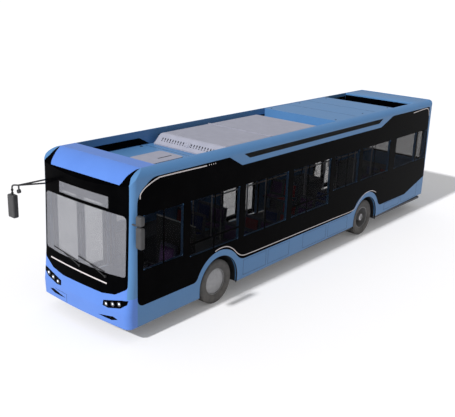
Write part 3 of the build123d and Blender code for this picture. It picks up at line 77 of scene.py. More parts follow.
@dataclass(frozen=True)
class Finish:
    """One finish: its colours, its gloss and how it varies over the surface."""

    name: str
    colour: tuple[float, float, float]
    second: tuple[float, float, float]
    roughness: float = 0.5
    metallic: float = 0.0
    coat: float = 0.0
    alpha: float = 1.0
    pattern: Pattern = Pattern.CLOUD
    scale: float = 6.0
    bump: float = 0.1
    grain: float = 400.0
    depth: float = 0.0004
    dust: float = 0.0
    glow: float = 0.0
    shine: float = 0.5

    def material(self) -> bpy.types.Material:
        """Make the finish's node material, or give the one made before.

        Returns:
            The material with its colour, gloss and bump nodes linked.
        """
        if self.name in PACKED_MATERIALS:
            raise ValueError(f"finish {self.name} has the name of a packed material")
        if self.name in bpy.data.materials:
            return bpy.data.materials[self.name]
        material = bpy.data.materials.new(self.name)
        material.use_nodes = True
        tree = material.node_tree
        nodes, links = tree.nodes, tree.links
        shader = nodes["Principled BSDF"]
        place = nodes.new("ShaderNodeTexCoord")
        mapping = nodes.new("ShaderNodeMapping")
        if self.pattern is Pattern.BRUSHED:
            mapping.inputs["Scale"].default_value = (8.0, 0.3, 8.0)
        links.new(place.outputs["Object"], mapping.inputs["Vector"])
        patches = nodes.new("ShaderNodeTexNoise")
        patches.inputs["Scale"].default_value = self.scale
        patches.inputs["Detail"].default_value = 6.0
        links.new(mapping.outputs["Vector"], patches.inputs["Vector"])
        varied, height = self.variation(nodes, links, mapping, patches)
        ramp = nodes.new("ShaderNodeValToRGB")
        ramp.color_ramp.elements[0].position = 0.34
        ramp.color_ramp.elements[0].color = (*self.colour, 1)
        ramp.color_ramp.elements[1].position = 0.74
        ramp.color_ramp.elements[1].color = (*self.second, 1)
        links.new(varied, ramp.inputs["Fac"])
        colour = ramp.outputs["Color"]
        if self.dust:
            colour = self.dusted(nodes, links, place, patches, colour)
        links.new(colour, shader.inputs["Base Color"])
        gloss = nodes.new("ShaderNodeMapRange")
        gloss.inputs["To Min"].default_value = max(self.roughness - 0.06, 0.02)
        gloss.inputs["To Max"].default_value = min(self.roughness + 0.08, 1.0)
        links.new(patches.outputs["Fac"], gloss.inputs["Value"])
        links.new(gloss.outputs["Result"], shader.inputs["Roughness"])
        bump = nodes.new("ShaderNodeBump")
        bump.inputs["Strength"].default_value = self.bump
        bump.inputs["Distance"].default_value = self.depth
        links.new(height, bump.inputs["Height"])
        links.new(bump.outputs["Normal"], shader.inputs["Normal"])
        shader.inputs["Metallic"].default_value = self.metallic
        shader.inputs["Coat Weight"].default_value = self.coat
        shader.inputs["Coat Roughness"].default_value = 0.06
        shader.inputs["Specular IOR Level"].default_value = self.shine
        shader.inputs["Alpha"].default_value = self.alpha
        if self.alpha < 1:
            material.surface_render_method = "BLENDED"
        if self.glow:
            shader.inputs["Emission Color"].default_value = (*self.second, 1)
            shader.inputs["Emission Strength"].default_value = self.glow
        return material

    def variation(
        self,
        nodes: bpy.types.Nodes,
        links: bpy.types.NodeLinks,
        mapping: bpy.types.Node,
        patches: bpy.types.Node,
    ) -> tuple[bpy.types.NodeSocket, bpy.types.NodeSocket]:
        """Add the nodes of the finish's pattern.

        Args:
            nodes: Nodes of the material.
            links: Links of the material.
            mapping: Node that gives the place on the piece.
            patches: Noise node of the soft patches.

        Returns:
            The socket that drives the colour and the one that drives the bump.
        """
        if self.pattern is Pattern.WEAVE:
            threads = []
            for direction in ("X", "Z"):
                wave = nodes.new("ShaderNodeTexWave")
                wave.bands_direction = direction
                wave.inputs["Scale"].default_value = self.grain
                links.new(mapping.outputs["Vector"], wave.inputs["Vector"])
                threads.append(wave.outputs["Fac"])
            crossing = nodes.new("ShaderNodeMath")
            crossing.operation = "MULTIPLY"
            links.new(threads[0], crossing.inputs[0])
            links.new(threads[1], crossing.inputs[1])
            return patches.outputs["Fac"], crossing.outputs["Value"]
        if self.pattern in (Pattern.SPECKLE, Pattern.PEBBLE):
            cells = nodes.new("ShaderNodeTexVoronoi")
            cells.inputs["Scale"].default_value = self.grain
            links.new(mapping.outputs["Vector"], cells.inputs["Vector"])
            colour = cells.outputs["Color"] if self.pattern is Pattern.SPECKLE else patches.outputs["Fac"]
            return colour, cells.outputs["Distance"]
        fine = nodes.new("ShaderNodeTexNoise")
        fine.inputs["Scale"].default_value = self.grain
        fine.inputs["Detail"].default_value = 3.0
        links.new(mapping.outputs["Vector"], fine.inputs["Vector"])
        return patches.outputs["Fac"], fine.outputs["Fac"]

    def dusted(
        self,
        nodes: bpy.types.Nodes,
        links: bpy.types.NodeLinks,
        place: bpy.types.Node,
        patches: bpy.types.Node,
        colour: bpy.types.NodeSocket,
    ) -> bpy.types.NodeSocket:
        """Add road dust that fades out with the height above the ground.

        Args:
            nodes: Nodes of the material.
            links: Links of the material.
            place: Node that gives the place on the piece.
            patches: Noise node that breaks up the dust.
            colour: Socket of the clean colour.

        Returns:
            The socket of the dusted colour.
        """
        split = nodes.new("ShaderNodeSeparateXYZ")
        links.new(place.outputs["Object"], split.inputs["Vector"])
        fade = nodes.new("ShaderNodeMapRange")
        fade.inputs["From Min"].default_value = 0.2
        fade.inputs["From Max"].default_value = 0.8
        fade.inputs["To Min"].default_value = self.dust
        fade.inputs["To Max"].default_value = 0.0
        links.new(split.outputs["Z"], fade.inputs["Value"])
        broken = nodes.new("ShaderNodeMath")
        broken.operation = "MULTIPLY"
        links.new(fade.outputs["Result"], broken.inputs[0])
        links.new(patches.outputs["Fac"], broken.inputs[1])
        mix = nodes.new("ShaderNodeMix")
        mix.data_type = "RGBA"
        links.new(broken.outputs["Value"], mix.inputs["Factor"])
        links.new(colour, mix.inputs["A"])
        mix.inputs["B"].default_value = (*tone(128, 122, 112), 1)
        return mix.outputs["Result"]


STEEL_BLUE = Finish(
    "steel_blue_paint", tone(80, 126, 174), tone(84, 130, 178), 0.40,
    coat=0.10, scale=2.0, bump=0.05, dust=0.16, shine=0.25,
)
# Lit copy of the steel blue paint: the same paint made brighter and bluer, painted sunlight on the front and the front
# roof cap that face the sun.
SUNLIT_BLUE = Finish(
    "bright_blue_paint", tone(84, 126, 205), tone(88, 131, 211), 0.36,
    coat=0.15, scale=2.0, bump=0.05, dust=0.12, shine=0.25,
)
BAND_BLACK = Finish("glazing_black", tone(0, 0, 1), tone(3, 3, 4), 0.24, scale=3.0, bump=0.02, dust=0.01, shine=0.012)
DARK_GLASS = Finish("dark_glass", tone(3, 3, 5), tone(7, 7, 10), 0.05, alpha=0.42, scale=2.0, bump=0.0, shine=0.02)
CLEAR_GLASS = Finish(
    "windshield_glass", tone(138, 139, 146), tone(146, 147, 153), 0.05, alpha=0.50, scale=2.0, bump=0.0, shine=0.1
)
DOOR_GLASS = Finish("door_glass", tone(52, 54, 58), tone(60, 62, 66), 0.05, alpha=0.22, scale=2.0, bump=0.0, shine=0.1)
HOOD_GREY = Finish(
    "hood_paint", tone(148, 149, 163), tone(156, 157, 171), 0.6, pattern=Pattern.PEBBLE, bump=0.12, grain=300.0
)
HATCH_GREY = Finish(
    "hatch_paint", tone(150, 151, 166), tone(158, 159, 174), 0.6, pattern=Pattern.PEBBLE, bump=0.12, grain=260.0
)
TRIM_BLACK = Finish("trim_plastic", tone(18, 18, 19), tone(30, 30, 32), 0.55, pattern=Pattern.PEBBLE, grain=500.0)
MIRROR_SHELL = Finish("mirror_shell", tone(52, 52, 54), tone(66, 66, 68), 0.48, pattern=Pattern.PEBBLE, grain=500.0)
RUBBER = Finish("tyre_rubber", tone(74, 73, 73), tone(94, 92, 91), 0.88, scale=9.0, bump=0.3, grain=260.0, dust=0.35)
SEAL_RUBBER = Finish("seal_rubber", tone(14, 14, 15), tone(26, 26, 27), 0.75, bump=0.2, grain=300.0)
RIM_PAINT = Finish("rim_paint", tone(132, 132, 134), tone(150, 150, 152), 0.45, metallic=0.35, scale=12.0, dust=0.5)
BRIGHT_STEEL = Finish(
    "bright_steel", tone(178, 178, 182), tone(206, 206, 210), 0.28, metallic=1.0, pattern=Pattern.BRUSHED, grain=90.0
)
CAST_IRON = Finish("cast_iron", tone(40, 39, 38), tone(70, 64, 58), 0.75, scale=9.0, bump=0.4, grain=180.0)
CHASSIS_COAT = Finish("chassis_coat", tone(26, 26, 27), tone(52, 50, 48), 0.7, scale=5.0, bump=0.35, grain=160.0)
FLOOR_SHEET = Finish(
    "floor_sheet", tone(60, 62, 68), tone(96, 98, 104), 0.7, pattern=Pattern.SPECKLE, grain=220.0, bump=0.2
)
SHELL_PLASTIC = Finish("seat_plastic", tone(66, 66, 88), tone(78, 78, 100), 0.5, pattern=Pattern.PEBBLE, grain=420.0)
NAVY_CLOTH = Finish(
    "navy_cloth", tone(34, 48, 104), tone(56, 72, 136), 0.92, pattern=Pattern.WEAVE, grain=260.0, bump=0.5, scale=30.0
)
PLUM_CLOTH = Finish(
    "plum_cloth", tone(84, 52, 104), tone(112, 76, 134), 0.92, pattern=Pattern.WEAVE, grain=260.0, bump=0.5, scale=30.0
)
RED_CLOTH = Finish(
    "red_cloth", tone(140, 34, 44), tone(168, 56, 62), 0.92, pattern=Pattern.WEAVE, grain=260.0, bump=0.5, scale=30.0
)
PALE_TRIM = Finish("pale_trim", tone(206, 198, 198), tone(216, 208, 208), 0.5, scale=8.0, bump=0.03)
LINING = Finish("cabin_lining", tone(168, 168, 172), tone(182, 182, 186), 0.7, pattern=Pattern.PEBBLE, grain=300.0)
LIGHT_STRIP = Finish("light_strip", tone(225, 228, 232), tone(240, 242, 245), 0.4, scale=8.0, glow=0.25)
LENS = Finish("lamp_lens", tone(30, 31, 35), tone(62, 64, 70), 0.10, coat=0.5, scale=40.0, bump=0.1)
# Pale white that glows: on the headlamps it is a painted highlight, a small glint before each lens; the reversing
# lenses take it as their glowing white.
GLOWING_WHITE_AND_GLINT = Finish("lamp_core", tone(214, 218, 226), tone(232, 236, 244), 0.2, scale=40.0, bump=0.05, glow=0.5)
RIM_COVER = Finish(
    "wheel_cover_paint", tone(150, 150, 153), tone(166, 166, 169), 0.42, metallic=0.25, scale=14.0, dust=0.35
)
LAMP_BOWL = Finish("lamp_bowl", tone(66, 68, 72), tone(96, 98, 102), 0.2, metallic=1.0, scale=30.0, bump=0.05)
RED_LENS = Finish(
    "red_lamp_plastic", tone(150, 12, 18), tone(196, 26, 30), 0.22,
    coat=0.8, pattern=Pattern.PEBBLE, grain=120.0, bump=0.3,
)
AMBER_LENS = Finish(
    "amber_lens", tone(208, 112, 18), tone(230, 140, 30), 0.22, coat=0.8, pattern=Pattern.PEBBLE, grain=120.0, bump=0.3
)
MIRROR_GLASS = Finish("mirror_glass", tone(198, 202, 206), tone(206, 210, 214), 0.04, metallic=1.0, bump=0.005)


def clear_selection() -> None:
    """Leave edit mode and deselect everything."""
    if bpy.context.object and bpy.context.object.mode != "OBJECT":
        bpy.ops.object.mode_set(mode="OBJECT")
    bpy.ops.object.select_all(action="DESELECT")


def choose(piece: bpy.types.Object) -> None:
    """Make one piece the only selected and the active one."""
    clear_selection()
    piece.select_set(True)
    bpy.context.view_layer.objects.active = piece


def settle(piece: bpy.types.Object) -> bpy.types.Object:
    """Move a piece's place into its mesh, so that its object stands at the origin."""
    choose(piece)
    bpy.ops.object.transform_apply(location=True, rotation=True, scale=True)
    return piece


def soften(piece: bpy.types.Object, width: float, segments: int = 2, angle: float = 35.0) -> bpy.types.Object:
    """Round a piece's sharp edges.

    Args:
        piece: The piece to round.
        width: Width of the rounding in metres.
        segments: Steps of the rounding.
        angle: Edges sharper than this many degrees are rounded.

    Returns:
        The same piece.
    """
    choose(piece)
    bevel = piece.modifiers.new("bevel", "BEVEL")
    bevel.width = width
    bevel.segments = segments
    bevel.limit_method = "ANGLE"
    bevel.angle_limit = math.radians(angle)
    bpy.ops.object.modifier_apply(modifier=bevel.name)
    return piece


def thicken(piece: bpy.types.Object, thickness: float, offset: float = 1.0) -> bpy.types.Object:
    """Give a sheet its thickness along its normals, and apply it."""
    choose(piece)
    wall = piece.modifiers.new("wall", "SOLIDIFY")
    wall.thickness = thickness
    wall.offset = offset
    bpy.ops.object.modifier_apply(modifier=wall.name)
    return piece


def outward(piece: bpy.types.Object) -> bpy.types.Object:
    """Merge doubles and turn every face outwards."""
    choose(piece)
    bpy.ops.object.mode_set(mode="EDIT")
    bpy.ops.mesh.select_all(action="SELECT")
    bpy.ops.mesh.remove_doubles(threshold=0.00002)
    bpy.ops.mesh.normals_make_consistent(inside=False)
    bpy.ops.object.mode_set(mode="OBJECT")
    return piece


def block(centre: Point, size: Point, round_edge: float = 0.0, turn: Point = (0, 0, 0)) -> bpy.types.Object:
    """Add a block with rounded edges.

    Args:
        centre: Middle of the block in metres.
        size: Size along X, Y and Z in metres.
        round_edge: Width of the edge rounding, or 0.
        turn: Turn about X, Y and Z in degrees.

    Returns:
        The finished block.
    """
    clear_selection()
    angles = tuple(math.radians(value) for value in turn)
    bpy.ops.mesh.primitive_cube_add(size=1, location=centre, rotation=angles, scale=size)
    piece = settle(bpy.context.object)
    return soften(piece, round_edge) if round_edge else piece


def disc(
    centre: Point, radius: float, depth: float, axis: Point, sides: int = 24, edge: float = 0.0
) -> bpy.types.Object:
    """Add a round piece along an axis.

    Args:
        centre: Middle of the piece in metres.
        radius: Radius in metres.
        depth: Length along the axis in metres.
        axis: Direction of the axis.
        sides: Number of sides.
        edge: Width of the edge rounding, or 0.

    Returns:
        The finished round piece.
    """
    clear_selection()
    turn = Vector((0, 0, 1)).rotation_difference(Vector(axis)).to_euler()
    bpy.ops.mesh.primitive_cylinder_add(vertices=sides, radius=radius, depth=depth, location=centre, rotation=turn)
    piece = settle(bpy.context.object)
    return soften(piece, edge) if edge else piece


def spun(profile: Sequence[tuple[float, float]], centre: Point, axis: str, steps: int) -> bpy.types.Object:
    """Spin a closed section round an axis.

    Args:
        profile: Points of the section as place along the axis and radius, in metres.
        centre: Point on the axis.
        axis: Name of the axis, X or Y.
        steps: Steps in the full turn.

    Returns:
        The closed ring or disc.
    """
    clear_selection()
    bpy.ops.mesh.primitive_circle_add(vertices=len(profile), radius=1, fill_type="NOTHING")
    piece = bpy.context.object
    for vertex, (along, radius) in zip(piece.data.vertices, profile, strict=True):
        vertex.co = (along, 0, radius) if axis == "X" else (radius, along, 0)
    choose(piece)
    bpy.ops.object.mode_set(mode="EDIT")
    bpy.ops.mesh.select_all(action="SELECT")
    direction = (1, 0, 0) if axis == "X" else (0, 1, 0)
    bpy.ops.mesh.spin(steps=steps, angle=math.tau, center=(0, 0, 0), axis=direction)
    bpy.ops.object.mode_set(mode="OBJECT")
    piece.location = centre
    settle(piece)
    return outward(piece)


def strip(path: Sequence[Point], across: Callable[[int], Vector], thickness: float) -> bpy.types.Object:
    """Lay a flat strip along a path.

    Args:
        path: Points along the middle of the strip.
        across: Gives half of the strip's width at a point, as a direction.
        thickness: Thickness of the strip.

    Returns:
        The strip as a closed solid.
    """
    clear_selection()
    count = len(path)
    bpy.ops.mesh.primitive_grid_add(x_subdivisions=count - 1, y_subdivisions=1, size=1)
    piece = bpy.context.object
    for index, vertex in enumerate(piece.data.vertices):
        row, column = divmod(index, count)
        middle = Vector(path[column])
        vertex.co = middle + across(column) * (1 if row else -1)
    thicken(piece, thickness, offset=0.0)
    return outward(piece)


def side_strip(points: Sequence[tuple[float, float]], x: float, width: float, thickness: float) -> bpy.types.Object:
    """Lay a flat strip on a side of the bus.

    Args:
        points: Middle line as distance behind the front face and height, in metres.
        x: X of the strip's middle plane.
        width: Width of the strip.
        thickness: Thickness of the strip.

    Returns:
        The strip as a closed solid.
    """
    path = [(x, station(s), z) for s, z in points]

    def across(index: int) -> Vector:
        before = Vector(path[max(index - 1, 0)])
        after = Vector(path[min(index + 1, len(path) - 1)])
        along = (after - before).normalized()
        return Vector((0, -along.z, along.y)) * width / 2

    return strip(path, across, thickness)


def smooth_line(points: Sequence[tuple[float, float]], steps: int = 6) -> list[tuple[float, float]]:
    """Round a line through its points.

    Args:
        points: Points as distance and height.
        steps: Steps between two points.

    Returns:
        Points of the rounded line.
    """
    line: list[tuple[float, float]] = []
    ends = [points[0], *points, points[-1]]
    for index in range(len(points) - 1):
        a, b, c, d = (Vector(ends[index + k]) for k in range(4))
        for step in range(steps):
            t = step / steps
            place = 0.5 * (2 * b + (c - a) * t + (2 * a - 5 * b + 4 * c - d) * t**2 + (3 * b - a - 3 * c + d) * t**3)
            line.append((place.x, place.y))
    line.append(points[-1])
    return line


def joined(pieces: Sequence[bpy.types.Object]) -> bpy.types.Object:
    """Join pieces into one object."""
    clear_selection()
    for piece in pieces:
        piece.select_set(True)
    bpy.context.view_layer.objects.active = pieces[0]
    if len(pieces) > 1:
        bpy.ops.object.join()
    return bpy.context.object


def repeated(piece: bpy.types.Object, moves: Sequence[Matrix]) -> bpy.types.Object:
    """Copy a piece to several places, each copy with its own mesh, and join them.

    Args:
        piece: The piece modelled once.
        moves: One placement for each copy.

    Returns:
        The joined copies; the first piece is used up.
    """
    copies = []
    for move in moves:
        copy = piece.copy()
        copy.data = piece.data.copy()
        bpy.context.scene.collection.objects.link(copy)
        copy.data.transform(move)
        copies.append(copy)
    bpy.data.objects.remove(piece)
    return joined(copies)


def mirrored(piece: bpy.types.Object) -> bpy.types.Object:
    """Add the piece's mirror image on the other side and join both."""
    pair = repeated(piece, (Matrix.Identity(4), Matrix.Scale(-1, 4, Vector((1, 0, 0)))))
    return outward(pair)


def place(
    piece: bpy.types.Object,
    name: str,
    finish: Finish,
    body: str = "body",
    slot: str = "trim_black",
    angle: float = 35.0,
) -> bpy.types.Object:
    """Name a finished piece, give it its finish and let it ride on a body.

    Args:
        piece: The finished piece.
        name: Plain name of the piece.
        finish: Its finish.
        body: Body that carries it.
        slot: Material slot of the record; not used.
        angle: Edges flatter than this many degrees are shaded smooth.

    Returns:
        The same piece.
    """
    settle(piece)
    piece.name = name
    piece.data.name = name
    piece.data.materials.clear()
    piece.data.materials.append(finish.material())
    bpy.ops.object.shade_smooth_by_angle(angle=math.radians(angle))
    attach(piece, body)
    LOG.info("%s: %d faces on %s", name, len(piece.data.polygons), body)
    return piece


@dataclass(frozen=True)
class Coachwork:
    """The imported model's own pieces with their finishes."""

    finishes: dict[str, Finish] = field(
        default_factory=lambda: {
            "side_wall": STEEL_BLUE,
            "glazing_bands": BAND_BLACK,
            "side_windows": DARK_GLASS,
            # The front fascia and the front roof cap take the lit copy of the blue paint, with the sunlight painted
            # into its colour.
            "front_fascia": SUNLIT_BLUE,
            "windshield_mask": BAND_BLACK,
            "windshield": CLEAR_GLASS,
            "headlamps": BAND_BLACK,
            "headlamp_lenses": LENS,
            "front_roof_cap": SUNLIT_BLUE,
            "roof_fairings": STEEL_BLUE,
            "fairing_grilles": TRIM_BLACK,
            "roof_deck": STEEL_BLUE,
            "ac_unit": HOOD_GREY,
            "roof_cover": STEEL_BLUE,
            "roof_hatch_lid": HATCH_GREY,
            "rear_wall": STEEL_BLUE,
            "rear_window": DARK_GLASS,
            "rear_lid": STEEL_BLUE,
            "tail_lamps": RED_LENS,
            "floor": FLOOR_SHEET,
            "raised_floor": FLOOR_SHEET,
            "drive_block": CHASSIS_COAT,
            "underframe": CHASSIS_COAT,
            "front_axle_beam": CAST_IRON,
            "rear_axle": CAST_IRON,
            "knuckle": CAST_IRON,
            "tyre": RUBBER,
            "rim": RIM_PAINT,
            "seats": SHELL_PLASTIC,
            "handrails": BRIGHT_STEEL,
            "driver_console": TRIM_BLACK,
            "steering_wheel": TRIM_BLACK,
            "door_headers": LINING,
            "mirrors": MIRROR_SHELL,
        }
    )

    def finish_of(self, node: str) -> Finish:
        """Finish of one node, by the start of its name."""
        for part, finish in (("door_pane", DOOR_GLASS), ("door_leaf", BAND_BLACK), ("door_post", TRIM_BLACK)):
            if part in node:
                return finish
        matches = [key for key in self.finishes if node.startswith(key)]
        return self.finishes[max(matches, key=len)]

    def dress(self) -> None:
        """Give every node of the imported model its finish."""
        for name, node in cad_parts.items():
            material = self.finish_of(name).material()
            if not node.material_slots:
                node.data.materials.append(material)
            for slot in node.material_slots:
                slot.material = material
            LOG.info("%s: %s", name, material.name)


@dataclass(frozen=True)
class Studio:
    """Floor, light and camera."""

    camera_place: Point = (10.0426, -13.5901, 6.5567)
    yaw: float = 0.691290
    pitch: float = 0.316114
    roll: float = 0.0373908
    lens: float = 56.72
    floor_size: float = 600.0
    sky: float = 0.42
    sun: float = 3.2
    floor_lift: float = 0.10
    sun_slope: float = 1.3

    def floor(self) -> None:
        """Lay a plain white floor."""
        clear_selection()
        bpy.ops.mesh.primitive_plane_add(size=self.floor_size, location=(0, 0, 0))
        ground = bpy.context.object
        ground.name = "floor_stage"
        material = bpy.data.materials.new("studio_floor")
        material.use_nodes = True
        shader = material.node_tree.nodes["Principled BSDF"]
        shader.inputs["Base Color"].default_value = (0.92, 0.915, 0.93, 1)
        shader.inputs["Roughness"].default_value = 0.9
        shader.inputs["Specular IOR Level"].default_value = 0.1
        path = material.node_tree.nodes.new("ShaderNodeLightPath")
        lift = material.node_tree.nodes.new("ShaderNodeMath")
        lift.operation = "MULTIPLY"
        lift.inputs[1].default_value = self.floor_lift
        material.node_tree.links.new(path.outputs["Is Camera Ray"], lift.inputs[0])
        material.node_tree.links.new(lift.outputs["Value"], shader.inputs["Emission Strength"])
        shader.inputs["Emission Color"].default_value = (1, 1, 1, 1)
        ground.data.materials.append(material)

    def light(self) -> None:
        """Light the bus with an even white sky and a sun from ahead."""
        world = bpy.data.worlds.new("studio_sky")
        bpy.context.scene.world = world
        world.use_nodes = True
        nodes, links = world.node_tree.nodes, world.node_tree.links
        background = nodes["Background"]
        background.inputs["Color"].default_value = (1, 1, 1, 1)
        path = nodes.new("ShaderNodeLightPath")
        straight = nodes.new("ShaderNodeMath")
        straight.operation = "MAXIMUM"
        links.new(path.outputs["Is Camera Ray"], straight.inputs[0])
        links.new(path.outputs["Is Transmission Ray"], straight.inputs[1])
        level = nodes.new("ShaderNodeMapRange")
        level.inputs["To Min"].default_value = self.sky
        level.inputs["To Max"].default_value = 1.0
        links.new(straight.outputs["Value"], level.inputs["Value"])
        links.new(level.outputs["Result"], background.inputs["Strength"])
        clear_selection()
        bpy.ops.object.light_add(type="SUN", location=(0, -10, 10))
        sun = bpy.context.object
        sun.name = "sun"
        sun.data.energy = self.sun
        sun.data.angle = math.radians(2.5)
        direction = Vector((0.02, self.sun_slope, -1.0))
        sun.rotation_euler = direction.to_track_quat("-Z", "Y").to_euler()

    def camera(self) -> None:
        """Set the camera at the photograph's place."""
        facing = Vector(
            (
                -math.sin(self.yaw) * math.cos(self.pitch),
                math.cos(self.yaw) * math.cos(self.pitch),
                -math.sin(self.pitch),
            )
        )
        right = facing.cross(Vector((0, 0, 1))).normalized()
        up = right.cross(facing)
        level_right = math.cos(self.roll) * right + math.sin(self.roll) * up
        level_up = math.cos(self.roll) * up - math.sin(self.roll) * right
        axes = Matrix((level_right, level_up, -facing)).transposed().to_4x4()
        clear_selection()
        bpy.ops.object.camera_add(location=self.camera_place)
        camera = bpy.context.object
        camera.matrix_world = Matrix.Translation(self.camera_place) @ axes
        camera.data.lens = self.lens
        camera.data.clip_end = 500
        bpy.context.scene.camera = camera

    def set_up(self) -> None:
        """Set up the floor, the light and the camera."""
        self.floor()
        self.light()
        self.camera()
        bpy.context.scene.view_settings.view_transform = "Standard"


def front_face(x: float, z: float) -> float:
    """Y of the bus's front surface at one place, in metres."""
    levels = ((0.310, 0.14), (0.600, 0.0), (0.900, 0.32), (1.250, 0.60), (2.470, 0.95), (2.905, 1.0))
    share = levels[-1][1]
    for (low, low_share), (high, high_share) in zip(levels, levels[1:]):
        if low <= z <= high:
            share = low_share + (high_share - low_share) * (z - low) / (high - low)
            break
    return station(0.110 * share + 0.060 * (x / 1.271) ** 2)


def front_strip(points: Sequence[tuple[float, float]], width: float, thickness: float) -> bpy.types.Object:
    """Lay a flat strip on the front of the bus.

    Args:
        points: Middle line as X and height, in metres.
        width: Width of the strip.
        thickness: Thickness of the strip.

    Returns:
        The strip as a closed solid.
    """
    path = [(x, front_face(x, z) - thickness / 2, z) for x, z in points]

    def across(index: int) -> Vector:
        before = Vector(path[max(index - 1, 0)])
        after = Vector(path[min(index + 1, len(path) - 1)])
        along = (after - before).normalized()
        return Vector((-along.z, 0, along.x)) * width / 2

    return strip(path, across, thickness)


def between(start: tuple[float, float], end: tuple[float, float], steps: int) -> list[tuple[float, float]]:
    """Points in equal steps on a straight line."""
    return [
        (start[0] + (end[0] - start[0]) * step / steps, start[1] + (end[1] - start[1]) * step / steps)
        for step in range(steps + 1)
    ]


@dataclass(frozen=True)
class Wheel:
    """Tyres with a blocked tread, wheel nuts, hub cap and valve of one wheel body."""

    name: str
    side: int
    axle: float
    tyre_places: tuple[float, ...]
    nut_face: float
    hub_face: float
    tread_base: float = 0.468
    steps: int = 90
    nuts: int = 10
    nut_ring: float = 0.1425
    centre_z: float = WHEEL_CENTRE
    cover_gap: float = 0.004
    cover_bolts: int = 10
    cover_bolt_ring: float = 0.240

    def section(self) -> list[tuple[float, float]]:
        """Closed section of a tyre as place along the axle and radius."""
        base = self.tread_base
        half = [
            (-0.105, 0.286), (-0.112, 0.292), (-0.118, 0.300), (-0.1175, 0.312), (-0.124, 0.318), (-0.130, 0.330),
            (-0.1355, 0.362), (-0.1372, 0.390), (-0.1368, 0.412), (-0.1372, 0.416), (-0.1345, 0.436),
            (-0.130, 0.446), (-0.124, 0.455), (-0.113, base - 0.002), (-0.079, base), (-0.071, base - 0.006),
            (-0.066, base), (-0.029, base), (-0.022, base - 0.006), (-0.016, base),
        ]
        other = [(-along, radius) for along, radius in reversed(half)]
        return half + other

    def tyre(self, x: float) -> bpy.types.Object:
        """Spin one tyre and raise the blocks of its tread.

        Args:
            x: X of the tyre's middle plane.

        Returns:
            The finished tyre.
        """
        piece = spun(self.section(), (x, self.axle, self.centre_z), "X", self.steps)
        choose(piece)
        bpy.ops.object.mode_set(mode="EDIT")
        bpy.ops.mesh.select_mode(type="FACE")
        bpy.ops.mesh.select_all(action="DESELECT")
        bpy.ops.object.mode_set(mode="OBJECT")
        for face in piece.data.polygons:
            middle = Vector((0, face.center.y - self.axle, face.center.z - self.centre_z))
            radial = face.normal.dot(middle.normalized())
            face.select = radial > 0.97 and middle.length > self.tread_base - 0.004 and face.area > 0.0005
        bpy.ops.object.mode_set(mode="EDIT")
        bpy.ops.mesh.inset(thickness=0.0024, depth=0.0095, use_individual=True)
        bpy.ops.object.mode_set(mode="OBJECT")
        return piece

    def hardware(self) -> bpy.types.Object:
        """Model the nuts, the hub cap's ring and the valve."""
        face = self.side * self.nut_face
        nut = disc((0, 0, 0), 0.0165, 0.024, (1, 0, 0), sides=6, edge=0.0018)
        washer = disc((-self.side * 0.010, 0, 0), 0.021, 0.006, (1, 0, 0), sides=18)
        stud = disc((self.side * 0.014, 0, 0), 0.0085, 0.014, (1, 0, 0), sides=12, edge=0.001)
        bolt = joined([nut, washer, stud])
        moves = []
        for number in range(self.nuts):
            angle = math.tau * (number + 0.5) / self.nuts
            offset = (
                face + self.side * 0.012,
                self.axle + self.nut_ring * math.cos(angle),
                self.centre_z + self.nut_ring * math.sin(angle),
            )
            moves.append(Matrix.Translation(offset))
        bolts = repeated(bolt, moves)
        hub = self.side * self.hub_face
        cap = spun(
            [
                (0.000, 0.060), (0.000, 0.078), (self.side * 0.004, 0.080), (self.side * 0.006, 0.072),
                (self.side * 0.010, 0.066), (self.side * 0.012, 0.058), (self.side * 0.006, 0.054),
            ],
            (hub, self.axle, self.centre_z), "X", 36,
        )
        valve = disc(
            (face + self.side * 0.010, self.axle, self.centre_z - 0.235), 0.006, 0.020, (1, 0, 0), sides=12, edge=0.001
        )
        return joined([bolts, cap, valve])

    def cover(self) -> bpy.types.Object:
        """Spin the smooth cover of a front wheel and set its small bolts."""
        way = self.side
        section = [(-0.0035, 0.262), (0.0, 0.266), (0.0035, 0.262), (0.0075, 0.240), (0.0130, 0.215)]
        section += [(0.0250, 0.165), (0.0385, 0.110), (0.0455, 0.055), (0.0470, 0.002), (0.0430, 0.002)]
        section += [(0.0415, 0.055), (0.0345, 0.108), (0.0210, 0.162), (0.0090, 0.212), (0.0035, 0.238)]
        centre = (way * self.nut_face + way * self.cover_gap, self.axle, self.centre_z)
        dome = spun([(way * along, radius) for along, radius in section], centre, "X", 64)
        bolt = disc((0, 0, 0), 0.0075, 0.010, (1, 0, 0), sides=6, edge=0.001)
        places = []
        ring = self.cover_bolt_ring
        for number in range(self.cover_bolts):
            angle = math.tau * number / self.cover_bolts
            height = self.centre_z + ring * math.sin(angle)
            places.append(Matrix.Translation((centre[0] + way * 0.011, self.axle + ring * math.cos(angle), height)))
        return joined([dome, repeated(bolt, places)])

    def build(self) -> None:
        """Build the wheel's pieces and let them ride on its body."""
        body = f"wheel_{self.name}"
        tyres = joined([self.tyre(self.side * place_x) for place_x in self.tyre_places])
        place(tyres, f"tyre_{self.name}_treaded", RUBBER, body, "tyre", 30)
        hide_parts(f"tyre_{self.name}")
        place(self.hardware(), f"nuts_{self.name}", BRIGHT_STEEL, body, "rim_steel")
        if len(self.tyre_places) == 1:
            place(self.cover(), f"wheel_cover_{self.name}", RIM_COVER, body, "rim_steel", 40)


